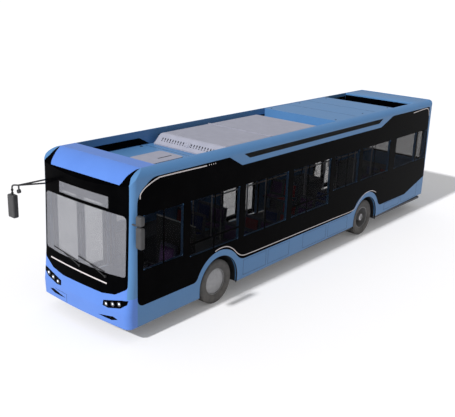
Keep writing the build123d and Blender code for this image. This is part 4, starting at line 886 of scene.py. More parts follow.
@dataclass(frozen=True)
class Running:
    """The four wheels and the lined arches over them."""

    front_axle: float = station(FRONT_AXLE_AT)
    rear_axle: float = station(REAR_AXLE_AT)
    liner_radius: float = 0.583
    liner_wall: float = 0.004
    liner_out: float = 1.208
    liner_foot: float = 0.330
    arch_steps: int = 28

    def wheels(self) -> list[Wheel]:
        """The wheels with their places."""
        return [
            Wheel(f"{axle}_{name}", side, place_y, tyres, nut_face, hub_face)
            for name, side in SIDES
            for axle, place_y, tyres, nut_face, hub_face in (
                ("front", self.front_axle, (1.0625,), 1.1475, 1.1805),
                ("rear", self.rear_axle, (1.0625, 0.7525), 0.9215, 1.15125),
            )
        ]

    def liner(self, axle: float, inner: float) -> bpy.types.Object:
        """Bend the lining of one arch on the street side.

        Args:
            axle: Y of the axle.
            inner: X of the lining's inner edge.

        Returns:
            The lining as a closed sheet.
        """
        path = [(0.0, axle - self.liner_radius, self.liner_foot)]
        for step in range(self.arch_steps + 1):
            angle = math.pi * (1 - step / self.arch_steps)
            height = WHEEL_CENTRE + self.liner_radius * math.sin(angle)
            path.append((0.0, axle + self.liner_radius * math.cos(angle), height))
        path.append((0.0, axle + self.liner_radius, self.liner_foot))
        middle = (inner + self.liner_out) / 2
        path = [(middle, y, z) for _, y, z in path]
        return strip(path, lambda _: Vector(((self.liner_out - inner) / 2, 0, 0)), self.liner_wall)

    def build(self) -> None:
        """Build the wheels and the linings."""
        for wheel in self.wheels():
            wheel.build()
        for name, axle, inner in (("front", self.front_axle, 0.532), ("rear", self.rear_axle, 0.572)):
            place(mirrored(self.liner(axle, inner)), f"arch_linings_{name}", TRIM_BLACK, slot="trim_black")


@dataclass(frozen=True)
class SideTrim:
    """Stripes, light strips, joints and markings on both sides."""

    face: float = 1.2760
    stripe_width: float = 0.017
    thickness: float = 0.0022
    stripe: tuple[tuple[float, float], ...] = (
        (2.420, 1.220), (2.579, 1.248), (2.791, 1.227), (2.984, 1.125), (3.151, 0.973), (3.313, 0.889),
        (3.570, 0.869), (4.600, 0.862), (5.470, 0.859), (6.980, 0.853), (7.767, 0.848), (7.978, 0.904),
        (8.177, 1.071), (8.418, 1.193), (8.754, 1.200), (9.011, 1.105),
    )
    front_light: tuple[tuple[float, float], ...] = (
        (0.358, 2.771), (0.375, 2.866), (0.506, 2.967), (0.769, 3.065), (0.986, 3.083), (2.094, 3.068),
    )
    rear_light: tuple[tuple[float, float], ...] = (
        (10.752, 3.052), (11.479, 3.086), (11.686, 3.042), (11.775, 2.853),
    )
    dots: tuple[float, ...] = (2.160, 2.222, 2.284, 2.346)
    door_gap: tuple[float, float] = (5.470, 6.980)
    front_light_width: float = 0.022
    rear_light_width: float = 0.020
    dot_radius: float = 0.011
    dot_height: float = 3.0705
    flaps: tuple[tuple[float, float, float, float], ...] = (
        (3.36, 4.16, 0.42, 0.76), (4.24, 5.04, 0.42, 0.76), (5.60, 6.60, 0.42, 0.76), (6.70, 7.60, 0.42, 0.76),
        (9.56, 10.46, 0.48, 0.66), (10.56, 11.50, 0.48, 0.92),
    )
    joint_face: float = 1.2716
    joint_width: float = 0.005
    joint_depth: float = 0.0016
    lip_x: float = 1.262
    lip_radius: float = 0.5885
    lip_half: float = 0.0125
    lip_wall: float = 0.005
    lip_steps: int = 32

    def stripes(self) -> bpy.types.Object:
        """Lay the lower pinstripe on both sides, broken by the middle doorway."""
        whole = smooth_line(self.stripe)
        pieces = [side_strip(whole, self.face, self.stripe_width, self.thickness)]
        before = [point for point in whole if point[0] <= self.door_gap[0]]
        after = [point for point in whole if point[0] >= self.door_gap[1]]
        for part in (before, after):
            pieces.append(side_strip(part, -self.face, self.stripe_width, self.thickness))
        return joined(pieces)

    def lights(self) -> bpy.types.Object:
        """Lay the pale strips under the roof edge and the four dots after them."""
        front = side_strip(smooth_line(self.front_light), self.face, self.front_light_width, self.thickness)
        rear = side_strip(smooth_line(self.rear_light), self.face, self.rear_light_width, self.thickness)
        dot = disc((0, 0, 0), self.dot_radius, self.thickness, (1, 0, 0), sides=18)
        row = repeated(dot, [Matrix.Translation((self.face, station(s), self.dot_height)) for s in self.dots])
        return mirrored(joined([front, rear, row]))

    def joints(self) -> bpy.types.Object:
        """Cut lines of the skirt's service flaps, as thin dark joints."""
        pieces = []
        for start, end, low, high in self.flaps:
            corners = ((start, low), (end, low), (end, high), (start, high), (start, low))
            for a, b in zip(corners, corners[1:]):
                pieces.append(side_strip([a, b], self.joint_face, self.joint_width, self.joint_depth))
        return joined(pieces)

    def gaskets(self) -> bpy.types.Object:
        """Model the rubber lips round the arches."""
        lips = []
        radius = self.lip_radius
        for axle in (station(FRONT_AXLE_AT), station(REAR_AXLE_AT)):
            path = []
            for step in range(self.lip_steps + 1):
                angle = math.pi * (1.09 - 1.18 * step / self.lip_steps)
                path.append((self.lip_x, axle + radius * math.cos(angle), WHEEL_CENTRE + radius * math.sin(angle)))
            lips.append(strip(path, lambda _: Vector((self.lip_half, 0, 0)), self.lip_wall))
        return mirrored(joined(lips))

    def build(self) -> None:
        """Build the trim of both sides."""
        place(self.stripes(), "side_stripes", PALE_TRIM)
        place(self.lights(), "roof_edge_light_strips", PALE_TRIM)
        place(mirrored(self.joints()), "skirt_joints", SEAL_RUBBER)
        place(self.gaskets(), "arch_lips", SEAL_RUBBER)


@dataclass(frozen=True)
class FrontEnd:
    """Strip, lamp rims, sign board, wipers and towing cover of the front."""

    strip_ends: tuple[tuple[float, float], ...] = ((-1.000, 1.122), (0.690, 1.080))
    strip_width: float = 0.026
    strip_wall: float = 0.0024
    lens_places: tuple[tuple[float, float], ...] = ((0.714, 0.695), (0.880, 0.735), (1.039, 0.780))
    glint_radius: float = 0.021
    glint_depth: float = 0.006

    def pale_strip(self) -> bpy.types.Object:
        """Lay the pale strip across the black mask."""
        start, end = self.strip_ends
        return front_strip(between(start, end, 20), self.strip_width, self.strip_wall)

    def lamp_rims(self) -> bpy.types.Object:
        """Spin the bright rims round the six lenses."""
        rims = []
        for x, z in self.lens_places:
            section = (
                (0.0, 0.0445), (0.0, 0.050), (-0.005, 0.0525), (-0.012, 0.0505), (-0.013, 0.0465), (-0.008, 0.0445)
            )
            rims.append(spun(section, (x, front_face(x, z), z), "Y", 40))
        return mirrored(joined(rims))

    def lamp_glints(self) -> bpy.types.Object:
        """Place small glowing discs before the lenses, set a little off each lens's middle: painted highlights on the
        lenses.
        """
        glints = [
            disc(
                (x + 0.004, front_face(x, z) - 0.0125, z + 0.006),
                self.glint_radius, self.glint_depth, (0, 1, 0), sides=20, edge=0.002,
            )
            for x, z in self.lens_places
        ]
        return mirrored(joined(glints))

    def sign_board(self) -> bpy.types.Object:
        """Model the blank display board behind the sign glass."""
        case = block((0, station(0.230), 2.628), (1.34, 0.05, 0.19), 0.006)
        cells = block((0, station(0.2035), 2.628), (1.26, 0.006, 0.15), 0.002)
        return joined([case, cells])

    def wiper(self) -> bpy.types.Object:
        """Model one wiper: spindle cap, tapered arm, clip and blade."""
        root_x, tip_x, root_z, tip_z = 0.66, 0.10, 1.215, 1.345
        root_y = front_face(root_x, root_z) - 0.018
        spindle = disc((root_x, root_y, root_z), 0.024, 0.036, (0, 1, 0), sides=24, edge=0.004)
        arm_points = between((root_x, root_z), (tip_x + 0.16, tip_z), 10)
        arm = strip(
            [(x, front_face(x, z) - 0.030, z) for x, z in arm_points],
            lambda index: Vector((0, 0, 0.011 - 0.0005 * index)),
            0.008,
        )
        blade_points = between((tip_x + 0.52, tip_z - 0.055), (tip_x - 0.20, tip_z + 0.055), 14)
        blade_path = [(x, front_face(x, z) - 0.012, z) for x, z in blade_points]
        blade = strip(blade_path, lambda _: Vector((0, 0, 0.006)), 0.020)
        clip = block((tip_x + 0.16, front_face(tip_x + 0.16, tip_z) - 0.022, tip_z), (0.04, 0.022, 0.026), 0.003)
        return joined([spindle, arm, blade, clip])

    def tow_cover(self) -> bpy.types.Object:
        """Cut the joint round the towing cover."""
        top = front_strip(between((-0.830, 0.516), (-0.448, 0.505), 6), 0.006, 0.0012)
        side = front_strip(between((-0.451, 0.502), (-0.459, 0.318), 4), 0.006, 0.0012)
        return joined([top, side])

    def build(self) -> None:
        """Build the pieces of the front."""
        place(self.pale_strip(), "mask_pale_strip", PALE_TRIM)
        place(self.lamp_rims(), "headlamp_rims", LAMP_BOWL, slot="lamp_black", angle=50)
        # The small glowing discs before the headlamp lenses are painted highlights.
        place(self.lamp_glints(), "headlamp_cores", GLOWING_WHITE_AND_GLINT, slot="lens")
        place(self.sign_board(), "sign_board", TRIM_BLACK, slot="black_gloss")
        wiper = self.wiper()
        place(repeated(wiper, (Matrix.Identity(4), Matrix.Translation((-0.74, 0.0, 0.0)))), "wipers", TRIM_BLACK)
        place(self.tow_cover(), "towing_cover_joint", SEAL_RUBBER)


@dataclass(frozen=True)
class Roof:
    """Details of the cooling unit, the cover behind it and the inner faces of the roof rails."""

    unit_start: float = 2.900
    unit_half: float = 1.000
    unit_top: float = 3.215
    deck: float = 2.965
    rail_inner: float = 1.105
    rib_at: float = 4.600
    boss_at: tuple[float, float, float] = (-0.056, 2.977, 3.096)

    def nose_turn(self) -> float:
        """Slope of the unit's nose in degrees."""
        return math.degrees(math.atan2(self.unit_top - 0.020 - self.deck, 0.160))

    def nose_slots(self) -> bpy.types.Object:
        """Model the two rows of dark slots on the unit's nose."""
        slot = block((0, 0, 0), (0.024, 0.004, 0.066), 0.0015, (self.nose_turn() - 90, 0, 0))
        places = []
        for number in range(-19, 20):
            if abs(number) > 1:
                for s, z in ((2.9455, 3.040), (3.0000, 3.118)):
                    places.append(Matrix.Translation((number * 0.0435, station(s), z)))
        return repeated(slot, places)

    def nose_trim(self) -> bpy.types.Object:
        """Model the bright edges, the middle fin and the round boss on the unit's nose."""
        slope = self.nose_turn()
        x, s, z = self.boss_at
        away = Vector((0, -math.sin(math.radians(slope)), math.cos(math.radians(slope))))
        seat = Vector((x, station(s), z))
        boss = disc(tuple(seat + away * 0.004), 0.064, 0.020, tuple(away), sides=36, edge=0.006)
        core = disc(tuple(seat + away * 0.014), 0.034, 0.020, tuple(away), sides=28, edge=0.005)
        half = self.unit_half
        low_edge = [(step * half * 0.97 / 4, station(2.9035), self.deck + 0.030) for step in range(-4, 5)]
        lip = strip(low_edge, lambda _: Vector((0, 0.005, 0.010)), 0.012)
        middle = [(step * half * 0.93 / 4, station(2.9720), 3.0790) for step in range(-4, 5)]
        fin = strip(middle, lambda _: Vector((0, 0.004, 0.006)), 0.010)
        return joined([boss, core, lip, fin])

    def unit_trim(self) -> bpy.types.Object:
        """Model the rib over the unit and the screwed flanges along its sides."""
        half = self.unit_half - 0.075
        rib = strip(
            [(x, station(self.rib_at), self.unit_top + 0.004) for x in (-half, -half / 2, 0.0, half / 2, half)],
            lambda _: Vector((0, 0.026, 0)), 0.010,
        )
        foot = [
            (self.unit_half * side, station(self.unit_start + 0.05 + step * 0.35), self.deck + 0.006)
            for side in (1,) for step in range(11)
        ]
        flange = strip(foot, lambda _: Vector((0.014, 0, 0)), 0.008)
        screw = disc((0, 0, 0), 0.008, 0.008, (0, 0, 1), sides=12, edge=0.0015)
        screws = repeated(screw, [Matrix.Translation((x, y, z + 0.006)) for x, y, z in foot])
        return joined([soften(rib, 0.003), mirrored(joined([flange, screws]))])

    def side_vents(self) -> bpy.types.Object:
        """Model the dark vents low on the unit's sides."""
        vent = block((0, 0, 0), (0.008, 0.125, 0.058), 0.003, (0, -14, 0))
        places = [
            Matrix.Translation((self.unit_half - 0.0225, station(3.160 + number * 0.200), 3.048)) for number in range(9)
        ]
        return mirrored(repeated(vent, places))

    def rail_panels(self) -> bpy.types.Object:
        """Model the black panels on the inner faces of both rails."""
        x = self.rail_inner - 0.002
        pieces = []
        for outline in (
            ((0.880, 2.975), (2.860, 2.975), (2.560, 3.130), (0.880, 3.130)),
            ((3.330, 3.000), (8.900, 3.000), (9.100, 3.125), (3.130, 3.125)),
        ):
            (low_a, low_z), (low_b, _), (high_b, high_z), (high_a, _) = outline
            steps = 12
            path = []
            widths = []
            for step in range(steps + 1):
                low = low_a + (low_b - low_a) * step / steps
                high = high_a + (high_b - high_a) * step / steps
                path.append((x, station((low + high) / 2), (low_z + high_z) / 2))
                widths.append(Vector((0, (high - low) / 2, (high_z - low_z) / 2)))
            pieces.append(strip(path, lambda index, table=widths: table[index], 0.003))
        return mirrored(joined(pieces))

    def cover_seams(self) -> bpy.types.Object:
        """Model the joints and lifting points of the cover."""
        pieces = []
        for s in (7.95, 8.90):
            pieces.append(block((0, station(s), 3.2745), (2.14, 0.006, 0.0016)))
        eye = disc((0, 0, 3.277), 0.020, 0.006, (0, 0, 1), sides=20, edge=0.002)
        places = [Matrix.Translation((x, station(s), 0)) for x in (-0.98, 0.98) for s in (7.12, 8.40, 9.72)]
        pieces.append(repeated(eye, places))
        return joined(pieces)

    def deck_joints(self) -> bpy.types.Object:
        """Model the panel joints of the roof deck and the drains beside the rails."""
        pieces = [block((0, station(s), self.deck + 0.0008), (2.18, 0.008, 0.0016)) for s in (2.70, 6.72)]
        drain = disc((0, 0, self.deck + 0.003), 0.035, 0.006, (0, 0, 1), sides=24, edge=0.002)
        pieces.append(
            repeated(drain, [Matrix.Translation((x, station(s), 0)) for x in (-1.03, 1.03) for s in (2.55, 6.85)])
        )
        return joined(pieces)

    def rear_crown(self) -> bpy.types.Object:
        """Model the broad rear cross member that closes the roof between the rails."""
        crown = block((0, station(11.440), 3.1225), (2.212, 0.880, 0.312), 0.0)
        return soften(crown, 0.012, 3)

    def rear_bay(self) -> bpy.types.Object:
        """Line the open bay ahead of the cross member with black sheets, painted shade of the deep well."""
        floor = block((0, station(10.425), self.deck + 0.002), (2.200, 1.130, 0.004), 0.001)
        walls = [
            block((side * 1.1025, station(10.425), 3.080), (0.004, 1.130, 0.220), 0.001) for side in (1, -1)
        ]
        ends = [
            block((0, station(9.8535), 3.100), (2.190, 0.004, 0.260), 0.001),
            block((0, station(10.9975), 3.100), (2.190, 0.004, 0.260), 0.001),
        ]
        return joined([floor, *walls, *ends])

    def hatch_slot(self) -> bpy.types.Object:
        """Model the dark recess of the hatch's grip."""
        return block((0.110, station(2.130), 3.0122), (0.036, 0.396, 0.0018), 0.0004)

    def build(self) -> None:
        """Build the pieces of the roof."""
        place(self.nose_trim(), "unit_nose_fins", HOOD_GREY, slot="unit_grey")
        place(self.unit_trim(), "unit_rib_and_flange", HOOD_GREY, slot="unit_grey")
        place(self.nose_slots(), "unit_nose_slots", TRIM_BLACK)
        place(self.side_vents(), "unit_side_vents", TRIM_BLACK)
        place(self.rail_panels(), "rail_inner_panels", BAND_BLACK, slot="black_gloss")
        place(self.cover_seams(), "roof_cover_seams", SEAL_RUBBER)
        place(self.rear_crown(), "roof_rear_crown", STEEL_BLUE, slot="roof_blue")
        # The black sheets lining the bay behind the cover are painted shade of the well.
        place(self.rear_bay(), "roof_rear_bay", BAND_BLACK, slot="black_gloss")
        place(self.deck_joints(), "roof_deck_joints", SEAL_RUBBER)
        place(self.hatch_slot(), "hatch_grip_recess", TRIM_BLACK, "hatch")


@dataclass(frozen=True)
class Cabin:
    """Seat pads, ceiling, light strips, hand straps and the driver's instruments."""

    rows: tuple[tuple[float, tuple[int, ...]], ...] = (
        (3.480, (1, -1)), (4.224, (1, -1)), (4.968, (1,)), (5.712, (1,)), (6.456, (1,)), (7.200, (1, -1)),
        (9.540, (1,)), (10.080, (1,)),
    )
    seat_x: tuple[float, float] = (0.961, 0.516)
    bench_x: tuple[float, ...] = (0.961, 0.516, 0.071)
    bench_at: float = 10.5885
    floor: float = 0.370
    cab_seat: tuple[float, float, float] = (0.680, 1.298, 0.520)
    ceiling: float = 2.880
    hatch: tuple[float, float, float] = (0.300, 1.570, 2.430)

    def seats(self) -> list[tuple[float, float, float]]:
        """Places of all seats as X, distance of the seat's front and height of its base."""
        places = [
            (side * x, station(s), self.floor) for s, sides in self.rows for side in sides for x in self.seat_x
        ]
        places += [(x, station(self.bench_at), self.floor) for x in self.bench_x]
        cab_x, cab_s, cab_z = self.cab_seat
        return [*places, (cab_x, station(cab_s), cab_z)]

    def pad(self, size: Point, cells: tuple[int, int], crown: float, waist: float) -> bpy.types.Object:
        """Swell a flat pad by cloth simulation and draw in its sides between the corners.

        Args:
            size: Width, depth and thickness in metres.
            cells: Divisions across the width and the depth.
            crown: The most that a point may rise.
            waist: How far the sides pull in between the corners.

        Returns:
            The padded shape, its underside at height 0.
        """
        clear_selection()
        bpy.ops.mesh.primitive_grid_add(x_subdivisions=cells[0], y_subdivisions=cells[1], size=1)
        piece = bpy.context.object
        piece.scale = (size[0], size[1], 1)
        settle(piece)
        for vertex in piece.data.vertices:
            across, back = 2 * vertex.co.x / size[0], 2 * vertex.co.y / size[1]
            vertex.co.x -= across * waist * (1 - back**2) * abs(across)
            vertex.co.y -= back * waist * (1 - across**2) * abs(back)
        thicken(piece, size[2], offset=1.0)
        rest = [vertex.co.copy() for vertex in piece.data.vertices]
        choose(piece)
        cloth = piece.modifiers.new("padding", "CLOTH")
        cloth.settings.use_pressure = True
        cloth.settings.uniform_pressure_force = 4.0
        cloth.settings.effector_weights.gravity = 0.0
        cloth.settings.quality = 4
        for frame_number in range(1, 13):
            bpy.context.scene.frame_set(frame_number)
        bpy.ops.object.modifier_apply(modifier=cloth.name)
        bpy.context.scene.frame_set(1)
        for vertex, start in zip(piece.data.vertices, rest, strict=True):
            move = vertex.co - start
            if start.z <= 0.001:
                move = Vector((0, 0, 0))
            edge = max(abs(2 * start.x / size[0]), abs(2 * start.y / size[1]))
            lift = crown * (1 - edge**4) if start.z > 0.001 else 0.0
            if move.length > crown:
                move = move.normalized() * crown
            vertex.co = start + 0.5 * move + Vector((0, 0, 0.6 * lift))
        choose(piece)
        smooth = piece.modifiers.new("smooth", "SUBSURF")
        smooth.levels = 1
        bpy.ops.object.modifier_apply(modifier=smooth.name)
        return piece

    def seat_pads(self) -> bpy.types.Object:
        """Model the cushion and the back pad of one seat, for a seat whose front is at the origin."""
        cushion = self.pad((0.385, 0.285, 0.024), (10, 8), 0.012, 0.008)
        cushion.data.transform(
            Matrix.Translation((0, 0.160, 0.4665)) @ Matrix.Rotation(math.radians(-6.0), 4, "X")
        )
        back = self.pad((0.370, 0.330, 0.022), (10, 8), 0.010, 0.008)
        back.data.transform(
            Matrix.Translation((0, 0.3425, 0.690)) @ Matrix.Rotation(math.radians(81.8), 4, "X")
        )
        return joined([cushion, back])

    def all_pads(self) -> None:
        """Copy the pads to the seats, every third seat of the list in the same one of three cloths."""
        master = self.seat_pads()
        cloths = ((NAVY_CLOTH, "navy"), (PLUM_CLOTH, "plum"), (RED_CLOTH, "red"))
        for number, (finish, name) in enumerate(cloths):
            chosen = self.seats()[number::3]
            model = master.copy()
            model.data = master.data.copy()
            bpy.context.scene.collection.objects.link(model)
            pads = repeated(model, [Matrix.Translation(seat) for seat in chosen])
            place(pads, f"seat_pads_{name}", finish, slot="seat_shell", angle=60)
        bpy.data.objects.remove(master)

    def lining(self) -> bpy.types.Object:
        """Model the ceiling lining in panels, with the hatch left open."""
        half, start, end = self.hatch
        panels = [
            ((0, (0.93 + start) / 2), (2.36, start - 0.93)),
            ((-(1.18 + half) / 2, (start + end) / 2), (1.18 - half, end - start)),
            (((1.18 + half) / 2, (start + end) / 2), (1.18 - half, end - start)),
        ]
        edges = (end, 4.10, 5.75, 7.40, 9.05, 10.70, 11.85)
        panels += [((0, (a + b) / 2), (2.36, b - a)) for a, b in zip(edges, edges[1:])]
        pieces = [
            block((x, station(s), self.ceiling), (width - 0.006, depth - 0.006, 0.008), 0.002)
            for (x, s), (width, depth) in panels
        ]
        return joined(pieces)

    def light_strips(self) -> bpy.types.Object:
        """Model the long ceiling lights on both sides of the aisle."""
        runs = ((0.98, 5.40), (5.46, 8.90), (8.96, 11.70))
        pieces = [
            block((side * 0.62, station((a + b) / 2), self.ceiling - 0.012), (0.085, b - a, 0.018), 0.006)
            for side in (1, -1) for a, b in runs
        ]
        return joined(pieces)

    def straps(self) -> bpy.types.Object:
        """Model the hanging straps on the hand rails."""
        loop = spun(((0.0, 0.052), (-0.006, 0.058), (0.0, 0.064), (0.006, 0.058)), (0, 0, -0.205), "Y", 24)
        belt = block((0, 0, -0.070), (0.024, 0.004, 0.170), 0.001)
        sleeve = spun(((-0.016, 0.0178), (-0.016, 0.0215), (0.016, 0.0215), (0.016, 0.0178)), (0, 0, 0), "Y", 20)
        strap = joined([loop, belt, sleeve])
        places = [
            Matrix.Translation((side * 0.2738, station(3.75 + number * 0.62), 1.930))
            for side in (1, -1) for number in range(9)
        ]
        return repeated(strap, places)

    def instruments(self) -> bpy.types.Object:
        """Model the instrument hood, the screens and the switch rows of the driver's place."""
        hood = block((0.680, station(0.700), 1.172), (0.44, 0.17, 0.070), 0.020, (-14, 0, 0))
        screen = block((0.300, station(0.660), 1.205), (0.22, 0.020, 0.150), 0.005, (-18, 0, 0))
        reader = block((0.215, station(0.860), 1.180), (0.13, 0.10, 0.19), 0.015, (-10, 0, 0))
        switches = [
            block((1.000 + 0.034 * number, station(0.660), 1.140), (0.024, 0.030, 0.014), 0.002, (-14, 0, 0))
            for number in range(5)
        ]
        return joined([hood, screen, reader, *switches])

    def driver_screen(self) -> bpy.types.Object:
        """Model the rail on top of the driver's partition."""
        return block((0.670, station(1.890), 1.857), (1.07, 0.030, 0.022), 0.006)

    def build(self) -> None:
        """Build the pieces of the cabin."""
        self.all_pads()
        place(self.lining(), "ceiling_lining", LINING)
        place(self.light_strips(), "ceiling_lights", LIGHT_STRIP)
        place(self.straps(), "hand_straps", TRIM_BLACK)
        place(self.instruments(), "driver_instruments", TRIM_BLACK)
        place(self.driver_screen(), "partition_rail", BRIGHT_STEEL, slot="rail_steel")


@dataclass(frozen=True)
class DoorSet:
    """Seals and grab rails of one doorway's two leaves."""

    name: str
    start: float
    clear: float
    low: float = 0.410
    high: float = 2.400
    face: float = 1.265
    inner: float = 1.225

    def leaf_span(self, number: int) -> tuple[float, float]:
        """Distances of a leaf's two edges."""
        leaf = self.clear / 2 - 0.008 - 0.020
        if number == 1:
            return self.start + 0.020, self.start + 0.020 + leaf
        return self.start + self.clear - 0.020 - leaf, self.start + self.clear - 0.020

    def seal(self, number: int) -> bpy.types.Object:
        """Model the soft lip on the closing edge of a leaf and the gasket round its pane."""
        near, far = self.leaf_span(number)
        closing = far if number == 1 else near
        lip = block((-1.245, station(closing), (self.low + self.high) / 2), (0.034, 0.010, 1.960), 0.004)
        left, right, low, high = near + 0.070, far - 0.070, self.low + 0.120, self.high - 0.070
        bars = [lip]
        for x in (-self.face - 0.0005, -self.inner + 0.0005):
            for s in (left, right):
                bars.append(block((x, station(s), (low + high) / 2), (0.004, 0.016, high - low + 0.014), 0.0015))
            for z in (low, high):
                bars.append(block((x, station((left + right) / 2), z), (0.004, right - left - 0.010, 0.016), 0.0015))
        return joined(bars)

    def rail(self, number: int) -> bpy.types.Object:
        """Model the grab rail on the inside of a leaf."""
        near, far = self.leaf_span(number)
        s = far - 0.045 if number == 1 else near + 0.045
        x = -self.inner + 0.030
        bar = disc((x, station(s), 1.250), 0.012, 0.760, (0, 0, 1), sides=20, edge=0.003)
        feet = [disc((x - 0.014, station(s), z), 0.009, 0.034, (1, 0, 0), sides=16) for z in (0.900, 1.600)]
        return joined([bar, *feet])

    def build(self) -> None:
        """Build the pieces of the doorway."""
        for number in (1, 2):
            body = f"{self.name}_door_leaf_{number}"
            place(self.seal(number), f"{self.name}_door_seal_{number}", SEAL_RUBBER, body)
            place(self.rail(number), f"{self.name}_door_rail_{number}", BRIGHT_STEEL, body, "rail_steel")


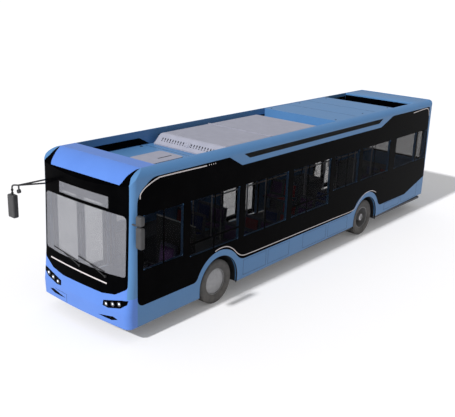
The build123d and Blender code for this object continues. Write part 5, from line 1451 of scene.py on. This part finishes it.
@dataclass(frozen=True)
class RearEnd:
    """Lid, lamps, plate and window border of the back, all within the back's plane."""

    back: float = station(12.000)
    lid_half: float = 0.872
    lid_low: float = 0.648
    lid_high: float = 1.332
    lamp_x: float = 1.120
    lamp_low: float = 1.000
    lamp_high: float = 1.420
    corner: tuple[float, float, float] = (1.151, 11.880, 0.1215)

    def lid(self) -> bpy.types.Object:
        """Model the lid with its pressed frame, louvres and hinge leaves."""
        middle = (self.lid_low + self.lid_high) / 2
        height = self.lid_high - self.lid_low
        plate = block((0, self.back - 0.0235, middle), (2 * self.lid_half, 0.033, height), 0.012)
        frame_bars = [
            block((0, self.back - 0.0055, z), (2 * self.lid_half - 0.06, 0.006, 0.016), 0.0025)
            for z in (self.lid_low + 0.030, self.lid_high - 0.030)
        ]
        frame_bars += [
            block((x, self.back - 0.0055, middle), (0.016, 0.006, height - 0.06), 0.0025)
            for x in (-self.lid_half + 0.030, self.lid_half - 0.030)
        ]
        slats = [
            block((0, self.back - 0.0085, height_at), (0.90, 0.006, 0.022), 0.002, (22, 0, 0))
            for height_at in (self.lid_low + 0.085 + 0.047 * number for number in range(7))
        ]
        hinges = [
            block((x, self.back - 0.0060, self.lid_high + 0.0035), (0.090, 0.010, 0.0072), 0.001) for x in (-0.44, 0.44)
        ]
        return joined([plate, *frame_bars, *slats, *hinges])

    def fittings(self) -> bpy.types.Object:
        """Model the lid's two latches."""
        cups = [block((x, self.back - 0.0040, 0.720), (0.090, 0.006, 0.036), 0.002) for x in (-0.66, 0.66)]
        return joined(cups)

    def plate(self) -> bpy.types.Object:
        """Model the blank plate on the lid."""
        return block((0, self.back - 0.0040, 1.200), (0.520, 0.006, 0.110), 0.0015)

    def lamp_cases(self) -> bpy.types.Object:
        """Model the dark cases of the tail lamps with the bars between their chambers."""
        height = self.lamp_high - self.lamp_low
        middle = (self.lamp_low + self.lamp_high) / 2
        case = block((self.lamp_x, self.back - 0.0175, middle), (0.108, 0.023, height), 0.002)
        bars = [
            block((self.lamp_x, self.back - 0.0040, self.lamp_low + height * number / 4), (0.104, 0.006, 0.008), 0.001)
            for number in range(1, 4)
        ]
        return mirrored(joined([case, *bars]))

    def chambers(self, numbers: Sequence[int]) -> bpy.types.Object:
        """Model some of the four lens chambers of the tail lamps.

        Args:
            numbers: Chambers counted from below.

        Returns:
            The crowned lenses of both sides.
        """
        step = (self.lamp_high - self.lamp_low) / 4
        lenses = [
            block((self.lamp_x, self.back - 0.0035, middle), (0.094, 0.006, step - 0.012), 0.0022)
            for middle in (self.lamp_low + step * (number + 0.5) for number in numbers)
        ]
        return mirrored(joined(lenses))

    def corner_lamps(self) -> bpy.types.Object:
        """Bend the red side lens round each rear corner."""
        x, s, radius = self.corner
        height = self.lamp_high - self.lamp_low - 0.02
        path = []
        for step in range(9):
            angle = math.radians(18 + 6 * step)
            path.append((x + radius * math.cos(angle), station(s + radius * math.sin(angle)), 1.210))
        return mirrored(strip(path, lambda _: Vector((0, 0, height / 2)), 0.003))

    def high_lamp(self) -> bpy.types.Object:
        """Model the high brake lamp behind the rear window."""
        return block((0, self.back - 0.020, 2.325), (0.420, 0.018, 0.030), 0.003)

    def window_frame(self) -> bpy.types.Object:
        """Model the black border behind the rear window's edge."""
        bars = [block((0, self.back - 0.010, z), (2.150, 0.003, 0.050), 0.001) for z in (1.506, 2.334)]
        bars += [block((x, self.back - 0.010, 1.920), (0.050, 0.003, 0.870), 0.001) for x in (-1.054, 1.054)]
        return joined(bars)

    def build(self) -> None:
        """Build the pieces of the back."""
        lid = place(self.lid(), "rear_lid_pressed", STEEL_BLUE, "drive_bay_lid", "body_blue")
        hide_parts("rear_lid")
        place(self.fittings(), "rear_lid_latches", TRIM_BLACK, "drive_bay_lid")
        place(self.plate(), "rear_plate_blank", PALE_TRIM, "drive_bay_lid")
        cases = place(self.lamp_cases(), "tail_lamp_cases", TRIM_BLACK, slot="red_lens")
        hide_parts("tail_lamps")
        place(self.chambers((0, 2)), "tail_lamp_red_lenses", RED_LENS, slot="red_lens")
        place(self.chambers((3,)), "tail_lamp_turn_lenses", AMBER_LENS, slot="red_lens")
        place(self.chambers((1,)), "tail_lamp_reversing_lenses", GLOWING_WHITE_AND_GLINT, slot="lens")
        place(self.corner_lamps(), "corner_side_lamps", RED_LENS, slot="red_lens")
        place(self.high_lamp(), "high_brake_lamp", RED_LENS, slot="red_lens")
        place(self.window_frame(), "rear_window_border", BAND_BLACK, slot="black_gloss")


@dataclass(frozen=True)
class MirrorSet:
    """Glasses of the outside mirrors, and the clamps on their tubes."""

    kerb: Point = (-1.400, station(-0.440), 2.200)
    street: Point = (1.425, station(0.220), 2.118)
    small: Point = (1.425, station(0.220), 2.4375)
    spot: Point = (-1.300, station(-0.360), 2.495)

    def glass(self, centre: Point, half_depth: float, width: float, height: float) -> bpy.types.Object:
        """Model one mirror glass on the face that looks back."""
        x, y, z = centre
        return block((x, y + half_depth + 0.0005, z), (width, 0.003, height), 0.001)

    def clamps(self) -> bpy.types.Object:
        """Model the two clamp rings of the kerb mirror's tube."""
        x, y, z = self.kerb
        rings = [
            spun(((-0.014, 0.0162), (-0.014, 0.024), (0.014, 0.024), (0.014, 0.0162)), (0, 0, 0), "Y", 24)
            for _ in (0, 1)
        ]
        for ring, height in zip(rings, (2.455, 2.520)):
            ring.data.transform(Matrix.Translation((x, y, height)) @ Matrix.Rotation(math.radians(90), 4, "X"))
        return joined(rings)

    def build(self) -> None:
        """Build the glasses and the clamps."""
        glasses = [
            self.glass(self.kerb, 0.060, 0.156, 0.412),
            self.glass(self.street, 0.050, 0.108, 0.350),
            self.glass(self.small, 0.050, 0.104, 0.128),
            disc((self.spot[0], self.spot[1] + 0.0255, self.spot[2]), 0.034, 0.003, (0, 1, 0), sides=28),
        ]
        place(joined(glasses), "mirror_glasses", MIRROR_GLASS)
        place(self.clamps(), "mirror_clamps", TRIM_BLACK)


def main() -> None:
    """Build the bus's pieces in order and report each."""
    logging.basicConfig(level=logging.INFO, format="%(message)s")
    clear_selection()
    Studio().set_up()
    Coachwork().dress()
    Running().build()
    SideTrim().build()
    FrontEnd().build()
    Roof().build()
    Cabin().build()
    for name, start, clear in DOORWAYS:
        DoorSet(name, start, clear).build()
    RearEnd().build()
    MirrorSet().build()


if __name__ == "__main__":
    main()
